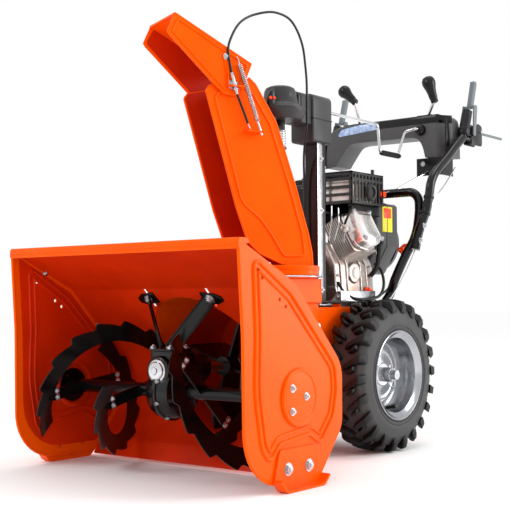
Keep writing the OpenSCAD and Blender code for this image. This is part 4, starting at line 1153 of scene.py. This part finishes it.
    def _shroud(self) -> None:
        """Blower shroud behind the engine, with its blank plates and lip."""
        outline = rounded([(-70, 478, 16), (56, 478, 16), (102, 560, 20), (102, 684, 12), (-70, 684, 20)], 6)
        Shape().prism(outline, Axis.Y, 138, 262).build("blower_shroud", MOULDED_DARK, "chassis", ("blower_housing",),
                                                       bevel=9, segments=4)
        rim = inset(outline, -1.5)
        Shape().prism(rim, Axis.Y, 196, 202).build("shroud_rib", MOULDED_DARK, "chassis", bevel=1.4)
        plate = Shape().block((101.5, 172, 600), (103.4, 226, 674))
        plate.build("yellow_plate", YELLOW_PLATE, "chassis", bevel=0.5)
        Shape().block((103, 178, 640), (103.9, 220, 669)).build("orange_patch", ORANGE_ABS, "chassis", bevel=0.3)
        deck = Shape().prism(rounded([(-60, 655, 8), (104, 655, 10), (112, 628, 6), (112, 640, 4), (106, 668, 10),
                                      (-60, 668, 8)], 4), Axis.Y, -20, 140)
        deck.build("air_deflector", MOULDED_BLACK, "chassis", bevel=2)

    def _starter(self) -> None:
        """Recoil starter's louvred cover and its handle."""
        cover = Shape().lathe([(0, 34), (22, 34), (26, 31), (60, 31), (66, 30), (72, 22), (84, 20), (88, 14), (89, 0),
                               (0, 0)], (8, 262, 572), (0, 1, 0), 72)
        cover.build("starter_cover", MOULDED_DARK, "chassis", ("recoil_cover",))
        louvres = Shape()
        for k in range(14):
            a = 2 * math.pi * k / 14
            u, v = math.cos(a), math.sin(a)
            louvres.tube([(8 + 32 * u, 293, 572 + 32 * v), (8 + 62 * u, 293, 572 + 62 * v)], 3.2, 8)
        louvres.build("starter_louvres", MOULDED_BLACK, "chassis")
        handle = Shape().lathe([(0, 40), (14, 40), (19, 37), (20.5, 32), (19, 27), (13, 25), (9, 22), (8, 6), (9, 1),
                                (0, 0)], (88, 297, 552), (0, 1, 0), 40)
        handle.tube([(88, 286, 552), (88, 298, 552)], 2.2, 10)
        handle.build("starter_handle", ORANGE_ABS, "recoil_body", ("recoil_handle",))

    def _tank(self) -> None:
        """Fuel tank with its seam and ribbed cap, and the carburettor's cover."""
        tank = rounded([(-172, 615, 22), (-76, 615, 22), (-76, 742, 26), (-172, 742, 26)], 6)
        Shape().prism(tank, Axis.Y, 50, 194).build("moulded_tank", MOULDED_BLACK, "chassis", ("fuel_tank",), bevel=14,
                                                   segments=4)
        Shape().prism(inset(tank, -2), Axis.Y, 119, 125).build("tank_seam", MOULDED_BLACK, "chassis", bevel=1)
        cap = Shape().lathe([(0, 17), (18, 17), (24, 15), (26, 12), (26.5, 0.6), (0, 0.6)], (-126, 98, 742), (0, 0, 1), 48)
        for k in range(18):
            a = 2 * math.pi * k / 18
            cap.tube([(-126 + 26 * math.cos(a), 98 + 26 * math.sin(a), 743.5),
                      (-126 + 25.4 * math.cos(a), 98 + 25.4 * math.sin(a), 755)], 2.2, 8)
        cap.build("ribbed_cap", MOULDED_BLACK, "fuel_cap_body", ("fuel_cap",))
        box = rounded([(-142, 480, 12), (-76, 480, 10), (-76, 606, 16), (-142, 598, 24)], 5)
        Shape().prism(box, Axis.Y, -28, 104).build("intake_cover", MOULDED_BLACK, "chassis", ("carburetor_cover",),
                                                   bevel=8, segments=3)

    def _base(self) -> None:
        """Pale engine plate on the frame, with its side flange and bolts."""
        base = Shape().block((-104, -76, 390), (121, 124, 395))
        base.block((117, -74, 376), (121.5, 100, 428))
        base.build("engine_plate", ZINC, "chassis", bevel=1.2)
        bolts = Shape()
        for y in (-56, 70):
            bolts.bolt((121.5, y, 398), (1, 0, 0), 6, 4.5)
        for x, y in ((106, -40), (106, 100), (-88, -40), (-88, 100)):
            bolts.bolt((x, y, 395), (0, 0, 1), 7.5, 5.5)
        bolts.build("engine_bolts", ZINC, "chassis")

    def _small_parts(self) -> None:
        """Drain hose, governor links, choke lever and dipstick."""
        Shape().tube(spline([(96, -52, 452), (112, -44, 424), (124, -10, 407), (131, 50, 405), (134, 104, 416),
                             (132, 128, 448), (120, 134, 486), (96, 138, 506)], 8), 4.2, 12).build(
            "drain_hose", CABLE_VINYL, "chassis")
        links = Shape()
        links.tube(bent([(84, -50, 566), (98, -46, 610), (92, -40, 656)], 8), 1.6, 8)
        links.tube(bent([(70, -54, 566), (78, -52, 620), (74, -46, 662)], 8), 1.6, 8)
        links.tube(bent([(110, 128, 500), (120, 110, 540), (100, 96, 560)], 8), 1.8, 8)
        links.tube(helix((104, -34, 560), (108, -34, 600), 4.5, 9, 10), 1.0, 6)
        links.build("governor_links", CHROME, "chassis")
        Shape().prism(rounded([(126, 696, 3), (150, 696, 5), (152, 712, 5), (126, 712, 3)], 3), Axis.X, 118, 130).build(
            "choke_lever", ORANGE_ABS, "chassis", bevel=2)
        stick = Shape().tube(spline([(100, 108, 470), (118, 116, 500), (124, 120, 560)], 6), 7, 14)
        stick.lathe([(0, 18), (9, 18), (12, 15), (12, 2), (0, 0)], (124, 120, 558), (0.1, 0, 1), 24)
        stick.build("oil_filler", MOULDED_BLACK, "chassis")


# ---------------------------------------------------------------- handlebars and console


@dataclass
class Handlebars:
    """Bent tubes, grips, clutch levers' brackets and the shift rods."""

    bar_x: float = 235.0
    radius: float = 13.0

    def build(self) -> None:
        """Build the bars and what is fixed to them."""
        leg = [(116, 127, 318), (118, 130, 350), (120, 150, 392), (126, 172, 420), (143, 172, 462), (168, 190, 530),
               (184, 203, 567), (195, 208, 602), (200, 211, 640), (201, 213, 672), (196, 214, 696), (178, 214, 711),
               (150, 214, 713), (60, 214, 713)]
        hoop = leg + [(-x, y, z) for x, y, z in reversed(leg)]
        Shape().tube(spline(hoop, 6), self.radius, 24).build("lower_hoop", TUBE_ENAMEL, "chassis", ("lower_handlebar",))
        upper = [(212, 168, 544), (217, 178, 590), (225, 190, 628), (231, 202, 660), (234, 212, 700), (235, 222, 736),
                 (235, 250, 770), (235, 319, 818), (235, 370, 856), (235, 400, 876), (235, 420, 892), (235, 432, 920),
                 (235, 446, 954)]
        bars = Shape()
        for side in (-1, 1):
            bars.tube(spline(mirrored(upper, side), 6), self.radius, 24)
            bars.tube(mirrored([(188, 205, 590), (203, 191, 590), (220, 178, 590)], side), 8, 16)
        bars.build("upper_bars", TUBE_ENAMEL, "chassis", ("handlebars",))
        self._fittings()
        for side, label in ((1, "left"), (-1, "right")):
            self._grip(side, label)

    def _fittings(self) -> None:
        """Bolts, clips and the thin rods along the bars."""
        bolts = Shape()
        for side in (-1, 1):
            for x, y, z in ((226, 173, 570), (233, 184, 612)):
                bolts.bolt((side * x, y, z), (side, 0, 0), 7, 5)
        bolts.build("bar_bolts", ZINC, "chassis")
        clips = Shape()
        for side in (-1, 1):
            clips.lathe([(13.4, -4), (15.2, -3.4), (15.2, 3.4), (13.4, 4)], (side * 229, 197, 648), (0.2 * side, 0.35, 1), 28,
                        ring=True)
            clips.lathe([(13.4, -4), (15.2, -3.4), (15.2, 3.4), (13.4, 4)], (side * 233.5, 211, 694), (0.05 * side, 0.25, 1),
                        28, ring=True)
        clips.build("cable_clips", MOULDED_BLACK, "chassis")
        wires = Shape()
        wires.tube(spline([(214, 410, 800), (222, 330, 742), (222, 262, 690), (214, 214, 610), (196, 176, 520),
                           (172, 150, 450), (150, 128, 402)], 8), 1.8, 8)
        wires.tube([(150, 362, 790), (112, 240, 728), (98, 150, 702)], 2.6, 10)
        wires.build("shift_rods", CHROME, "chassis")

    def _grip(self, side: int, label: str) -> None:
        """Ribbed vinyl grip with its moulded bracket.

        Args:
            side: 1 for the machine's left, -1 for its right.
            label: the same in words.
        """
        x = side * self.bar_x
        start, stop = Vector((x, 424, 896)), Vector((x, 453, 975))
        length = (stop - start).length
        profile = [(13.2, 0), (16.2, 0), (16.8, 2), (16.8, 6)]
        for k in range(11):
            h = 9 + 6 * k
            profile += [(15, h), (15.9, h + 1.5), (15.9, h + 3.5), (15, h + 5)]
        profile += [(15.4, length - 6), (15.6, length - 2), (13, length), (0, length)]
        grip = Shape().lathe([(0, 0)] + profile, start, tuple(stop - start), 40)
        grip.build(f"vinyl_grip_{label}", GRIP_VINYL, "chassis", ("grips",) if side > 0 else ())
        bracket = Shape()
        plate = rounded([(452, 872, 6), (522, 872, 10), (522, 934, 10), (500, 940, 6), (452, 926, 6)], 4)
        for low, high in ((x - 14, x - 9), (x + 9, x + 14)):
            bracket.prism(plate, Axis.X, low, high)
        bracket.block((x - 12, 424, 886), (x + 12, 520, 892))
        bracket.lathe([(14, -10), (18, -9), (18, 9), (14, 10)], (x, 428, 908), (0, 0.36, 0.93), 28, ring=True)
        bracket.build(f"lever_bracket_{label}", MOULDED_BLACK, "chassis", bevel=1.2)
        pins = Shape()
        for y, z in ((461, 908), (514, 916)):
            pins.lathe([(0, -17), (5, -17), (5, -14), (3, -14), (3, 14), (5, 14), (5, 17), (0, 17)], (x, y, z), (1, 0, 0), 20)
        pins.tube(helix((x - 8, 488, 900), (x + 8, 488, 900), 7, 6, 12), 1.2, 6)
        pins.build(f"lever_pins_{label}", ZINC, "chassis")


@dataclass
class Console:
    """Moulded console with its lamp, strip, levers' knobs and underside fittings."""

    front: float = 350.0
    rear: float = 440.0

    def build(self) -> None:
        """Build the console and its levers."""
        self._shell()
        band = [(-14, 348.8), (184, 348.8), (215.8, 391), (214, 394), (182, 352), (-14, 352)]
        Shape().prism(band, Axis.Z, 933, 955.5).build("console_strip", STRIP_BLACK, "chassis", bevel=0.5)
        top = Shape().block((-150, self.front + 8, 957.6), (186, self.rear - 8, 959.2))
        top.build("console_top_film", STRIP_BLACK, "chassis", bevel=0.6)
        lens = rounded([(-174, 921, 6), (-20, 932, 4), (-20, 952, 5), (-84, 953, 20), (-152, 945, 14)], 5)
        Shape().prism(lens, Axis.Y, self.front - 2.4, self.front + 8).build("headlight", LENS, "chassis", bevel=1.6)
        bars = Shape()
        for k in range(6):
            low, high = 925 + 1.2 * k, 941 + 1.4 * k
            bars.tube([(-146 + 20 * k, self.front - 2.6, low), (-142 + 20 * k, self.front - 2.6, high)], 1.1, 8)
        bars.build("lens_flutes", CHROME, "chassis")
        slots = Shape()
        for low, high in (((116, 356, 958.6), (166, 432, 960.2)), ((-120, 360, 958.6), (-88, 434, 960.2))):
            slots.block(low, high)
        slots.build("lever_gates", MOULDED_BLACK, "chassis", bevel=0.5)
        corner = rounded([(self.front - 2, 834, 3), (self.front + 26, 834, 3), (self.front + 14, 934, 6),
                          (self.front + 2, 948, 6), (self.front - 2, 940, 4)], 4)
        for side in (-1, 1):
            Shape().prism(corner, Axis.X, min(side * 214, side * 218.5), max(side * 214, side * 218.5)).build(
                f"corner_trim_{'left' if side > 0 else 'right'}", MOULDED_BLACK, "chassis", bevel=1)
        self._front_rod()
        self._underside()
        self._lever("speed", "speed_selector", (126, 380, 930), (178, 352, 1000), (162, 350, 1052))
        self._lever("deflector", "deflector_control", (-104, 396, 930), (-106, 352, 1030), (-140, 350, 1064))

    def _shell(self) -> None:
        """Arched shell: a five-sided section swept from one foot over the arch to the other."""
        stations = [(-219, 826, -179, 829), (-214, 880, -160, 855), (-204, 925, -141, 879), (-191, 943, -129, 891),
                    (-172, 952, -112, 896), (-140, 956, -88, 897), (-18, 957, -18, 896), (100, 957, 84, 895),
                    (186, 956, 110, 892), (203, 951, 124, 884), (212, 936, 133, 871), (215, 905, 139, 855),
                    (216, 828, 145, 830)]
        rings = []
        for x, z, inner_x, inner_z in self._resample(stations):
            cut = 32 * min(max((x - 120) / 70, 0), 1)
            drop = 3 * (1 - cut / 32)
            rings.append([(inner_x, self.front, inner_z), (inner_x, self.rear, inner_z), (x, self.rear, z),
                          (x, self.front + 6 + 1.1 * cut, z), (x - cut, self.front, z - drop)])
        Shape().loft(rings).build("console_shell", MOULDED_GREY, "chassis", ("console",), bevel=2.4, segments=3,
                                  smooth=40)

    @staticmethod
    def _resample(stations: Sequence[Point]) -> list[tuple[float, ...]]:
        """Smooth the stations of the arch.

        Args:
            stations: outer X and Z, then inner X and Z.

        Returns:
            The same, four times as many.
        """
        outer = spline([(a, 0, b) for a, b, _, _ in stations], 4)
        inner = spline([(c, 0, d) for _, _, c, d in stations], 4)
        return [(o.x, o.z, q.x, q.z) for o, q in zip(outer, inner)]

    def _front_rod(self) -> None:
        """Dark boss on the console's front with the bent bright rod that hangs from it."""
        Shape().lathe([(0, 14), (10, 14), (15, 10), (17, 0), (0, 0)], (132, 350, 914), (0, -1, 0), 32).build(
            "rod_boss", MOULDED_BLACK, "chassis")
        rod = bent([(132, 340, 914), (132, 322, 916), (96, 318, 910), (74, 316, 848)], 10, 6)
        Shape().tube(rod, 4, 14).build("bent_rod", CHROME, "chassis")

    def _underside(self) -> None:
        """Plates and links under the console's left end."""
        links = Shape()
        links.prism(rounded([(118, 780, 4), (190, 780, 6), (190, 826, 4), (118, 826, 4)], 3), Axis.Y, 366, 370)
        links.tube([(130, 372, 800), (130, 420, 800)], 7, 14)
        links.tube([(168, 372, 806), (168, 424, 806)], 5, 12)
        links.build("link_plates", BLACK_ENAMEL, "chassis", bevel=0.8)
        bolts = Shape()
        for x, z in ((134, 812), (176, 792)):
            bolts.bolt((x, 358, z), (0, -1, 0), 5.5, 4)
        bolts.build("link_bolts", ZINC, "chassis")

    def _lever(self, label: str, body: str, foot: Point, top: Point, tip: Point) -> None:
        """Chrome stalk with its moulded knob.

        Args:
            label: which lever.
            body: body that it turns with.
            foot: where the stalk starts.
            top: where the knob starts.
            tip: middle of the knob's head.
        """
        a, b, c = Vector(foot), Vector(top), Vector(tip)
        lean = (c - b).normalized()
        stalk = Shape().tube(bent([a, b, b + lean * 8], 6), 4.8, 16)
        stalk.build(f"{label}_stalk", CHROME, body, (f"{label}_lever",))
        size = (c - b).length
        profile = [(0, -7), (9, -7), (11, -5), (11.5, 0), (11, 4), (12.5, 8), (13.5, size * 0.45),
                   (16, size * 0.7), (19, size * 0.88), (20.5, size * 1.02), (19.5, size * 1.2), (15, size * 1.34),
                   (8, size * 1.4), (0, size * 1.42)]
        knob = Shape().lathe(profile, b, tuple(lean), 36)
        knob.build(f"{label}_knob", MOULDED_BLACK, body)
        side = lean.cross(Vector((0, 1, 0))).normalized()
        Shape().lathe([(0, 0.5), (7, 0.5), (9, -0.5), (9, -4), (0, -4)], c + Vector((0, -20, 0)) + side * 0, (0, -1, 0), 24).build(
            f"{label}_knob_cap", STRIP_BLACK, body)


# ---------------------------------------------------------------- wheels


@dataclass
class Wheel:
    """Lugged snow tyre on a pressed silver rim."""

    side: int
    label: str
    track: float = 199.0
    radius: float = 203.0
    half: float = 59.0
    lugs: int = 22

    @property
    def body(self) -> str:
        """Name of the body that the wheel turns with."""
        return f"wheel_{self.label}_body"

    def frame(self) -> Matrix:
        """Return the wheel's frame: Z out of the machine along the axle."""
        return Matrix.Translation((self.side * self.track, 0, AXLE_Z)) @ Matrix.Rotation(
            math.radians(90 * self.side), 4, "Y")

    def build(self) -> None:
        """Build the tyre, its lugs and the rim."""
        h = self.half
        profile = rounded([(112, -h + 8, 2), (118, -h + 3, 3), (140, -h, 18), (168, -h + 4, 24), (184, -h + 16, 10),
                           (187, 0, 200), (184, h - 16, 10), (168, h - 4, 24), (140, h, 18), (118, h - 3, 3),
                           (112, h - 8, 2)], 5)
        carcass = Shape().lathe(profile, (0, 0, 0), (0, 0, 1), 120, ring=True)
        for sign in (-1, 1):
            for r, out in ((122, h - 1.0), (131, h - 0.2)):
                carcass.lathe([(r - 1.6, sign * (out - 1.6)), (r, sign * (out + 0.8)), (r + 1.6, sign * (out - 1.6))],
                              (0, 0, 0), (0, 0, 1), 120, ring=True)
        carcass.build(f"tyre_carcass_{self.label}", SIDEWALL_RUBBER, self.body, (f"tyre_{self.label}",),
                      place=self.frame(), smooth=50)
        lugs = Shape()
        for k in range(self.lugs):
            for sign in (-1, 1):
                self._lug(lugs, 2 * math.pi * (k + (0.5 if sign > 0 else 0)) / self.lugs, sign)
        lugs.build(f"tyre_lugs_{self.label}", TYRE_RUBBER, self.body, place=self.frame(), bevel=0.9)
        self._rim()

    def _lug(self, shape: Shape, angle: float, sign: int) -> None:
        """Add one pointed, directional lug.

        Args:
            shape: shape that receives it.
            angle: place round the tyre, in radians.
            sign: which shoulder it starts from.
        """
        h = self.half
        lead = self.side
        spine = [(0.0, h + 0.4, 166, 183), (2.0, h - 6, 176, self.radius - 5), (9.0, h - 20, 181, self.radius - 1.6),
                 (19.0, h - 34, 182, self.radius - 0.6), (27.0, h - 48, 183, self.radius - 0.5), (34.0, 4, 184, 198)]
        widths = [11.0, 11.5, 10.0, 8.0, 6.5, 3.0]
        rings = []
        for (u, v, low, high), width in zip(spine, widths):
            ring = []
            for r, spread in ((low, 1.25), (high, 0.85)):
                for edge in ((-1, 1) if r == low else (1, -1)):
                    a = angle + lead * (u + edge * width * spread) / self.radius
                    ring.append((r * math.cos(a), r * math.sin(a), sign * v))
            rings.append(ring)
        shape.loft(rings)
        hook = [(30.0, h - 22, 182, self.radius - 2), (40.0, h - 34, 182, self.radius - 2.4), (43.0, h - 44, 182, 197)]
        rings = []
        for (u, v, low, high), width in zip(hook, (5.5, 5.5, 4.0)):
            ring = []
            for r, spread in ((low, 1.2), (high, 0.85)):
                for edge in ((-1, 1) if r == low else (1, -1)):
                    a = angle + lead * (u + edge * width * spread) / self.radius
                    ring.append((r * math.cos(a), r * math.sin(a), sign * v))
            rings.append(ring)
        shape.loft(rings)

    def _rim(self) -> None:
        """Deep pressed rim with its steps, hub, pin and valve."""
        h = self.half
        profile = [(13, 36), (18, 36), (19.5, 34), (19.5, 6), (30, 4), (46, 1), (56, -2), (62, 0), (68, 1), (78, -4),
                   (86, -8), (91, -6), (94, 2), (95, 18), (97, 22), (99, 34), (99, h - 12), (103, h - 9),
                   (110, h - 6), (113, h - 2), (116, h + 0.5), (118.5, h - 0.5), (119, h - 3), (116, h - 5),
                   (113, h - 10), (104, h - 14), (102, h - 20), (102, -h + 14), (113, -h + 10), (118, -h + 4),
                   (116, -h), (112, -h + 1), (99, -h + 10), (97, -20), (93, -12), (84, -13), (60, -7), (30, -2),
                   (19.5, -3), (19.5, -16), (13, -16)]
        rim = Shape().lathe(profile, (0, 0, 0), (0, 0, 1), 120, ring=True)
        rim.build(f"pressed_rim_{self.label}", RIM_SILVER, self.body, (f"rim_{self.label}",), place=self.frame(),
                  smooth=40)
        hub = Shape().lathe([(13, 0), (30, 0), (31, 1.5), (31, 4), (29, 5.5), (13, 5.5)], (0, 0, 2), (0, 0, 1), 48, ring=True)
        hub.tube([(-26, 0, 26), (26, 0, 26)], 3.6, 16)
        hub.tube(bent([(26, 0, 26), (34, 0, 28), (30, 0, 42), (-20, 0, 42)], 6), 1.6, 10)
        hub.lathe([(0, 30), (10.5, 30), (12, 28.5), (12, -10), (0, -10)], (0, 0, 18), (0, 0, 1), 32)
        hub.build(f"wheel_pin_{self.label}", CHROME, self.body, place=self.frame())
        down = self.side
        valve = Shape().tube([(down * 92, 0, 0), (down * 88, 0, 16), (down * 84, 0, 34)], [6, 5, 4.4], 14)
        valve.lathe([(0, 0), (5.6, 0), (5.6, 10), (4.4, 12), (0, 12)], (down * 84, 0, 33), (-0.15 * down, 0, 1), 18)
        valve.build(f"valve_{self.label}", MOULDED_BLACK, self.body, place=self.frame())


# ---------------------------------------------------------------- studio


@dataclass
class Studio:
    """Floor, soft lights and camera."""

    camera_mm: tuple[float, float, float] = (1713.96, -2458.76, 400.34)
    azimuth: float = 38.352
    rise: float = 3.016
    roll: float = -0.243
    lens_mm: float = 74.94
    shift: float = -0.0189

    def build(self) -> None:
        """Set up the studio."""
        self._floor()
        self._world()
        self._light("key", (-1.6, -3.4, 3.4), 1.4, 36)
        self._light("left_side", (3.4, 1.6, 2.0), 1.6, 60)
        self._light("top", (0.4, 0.4, 4.0), 2.0, 26)
        self._light("low_rear_left", (2.53, 2.41, 0.62), 0.9, 16)
        self._camera()
        bpy.context.scene.view_settings.view_transform = "Standard"

    def _floor(self) -> None:
        """Large pale board under the machine."""
        mesh = bpy.data.meshes.new("floor")
        mesh.from_pydata([(-30, -30, 0), (30, -30, 0), (30, 30, 0), (-30, 30, 0)], [], [(0, 1, 2, 3)])
        mesh.materials.append(FLOOR_BOARD.material())
        floor = bpy.data.objects.new("floor", mesh)
        bpy.context.scene.collection.objects.link(floor)

    def _world(self) -> None:
        """Even white surround."""
        world = bpy.data.worlds.new("studio")
        world.use_nodes = True
        surround = world.node_tree.nodes["Background"]
        surround.inputs["Color"].default_value = (1, 1, 1, 1)
        surround.inputs["Strength"].default_value = 1.0
        bpy.context.scene.world = world

    def _light(self, name: str, place: Point, size: float, power: float) -> None:
        """Hang a soft panel that faces the machine.

        Args:
            name: the light's name.
            place: where it hangs, in metres.
            size: side of the panel, in metres.
            power: its power in watts.
        """
        data = bpy.data.lights.new(name, "AREA")
        data.shape, data.size, data.energy = "SQUARE", size, power
        lamp = bpy.data.objects.new(name, data)
        lamp.location = place
        lamp.rotation_euler = (Vector((0, 0, 0.5)) - Vector(place)).to_track_quat("-Z", "Y").to_euler()
        bpy.context.scene.collection.objects.link(lamp)

    def _camera(self) -> None:
        """Long lens from the machine's front left, just above knee height."""
        data = bpy.data.cameras.new("camera")
        data.sensor_width, data.lens, data.shift_y = 36.0, self.lens_mm, self.shift
        camera = bpy.data.objects.new("camera", data)
        camera.location = TO_ROW @ Vector(self.camera_mm)
        turn = (Matrix.Rotation(math.radians(self.azimuth), 3, "Z")
                @ Matrix.Rotation(math.radians(90 + self.rise), 3, "X")
                @ Matrix.Rotation(math.radians(self.roll), 3, "Z"))
        camera.rotation_euler = turn.to_euler()
        bpy.context.scene.collection.objects.link(camera)
        bpy.context.scene.camera = camera


def dress_cad() -> None:
    """Give every CAD node that stays its finish."""
    for finish, names in CAD_FINISHES.items():
        for name in names:
            mesh = frame["nodes"][name].data
            mesh.materials.clear()
            mesh.materials.append(finish.material())


def main() -> None:
    """Build the machine's looks and the studio round it."""
    logging.basicConfig(level=logging.INFO, format="%(name)s: %(message)s")
    Studio().build()
    dress_cad()
    for part in (Housing(), Auger(), Chute(), ChuteControl(), Engine(), Handlebars(), Console(),
                 Wheel(1, "left"), Wheel(-1, "right")):
        LOG.info("%s", type(part).__name__)
        part.build()


if __name__ == "__main__":
    main()
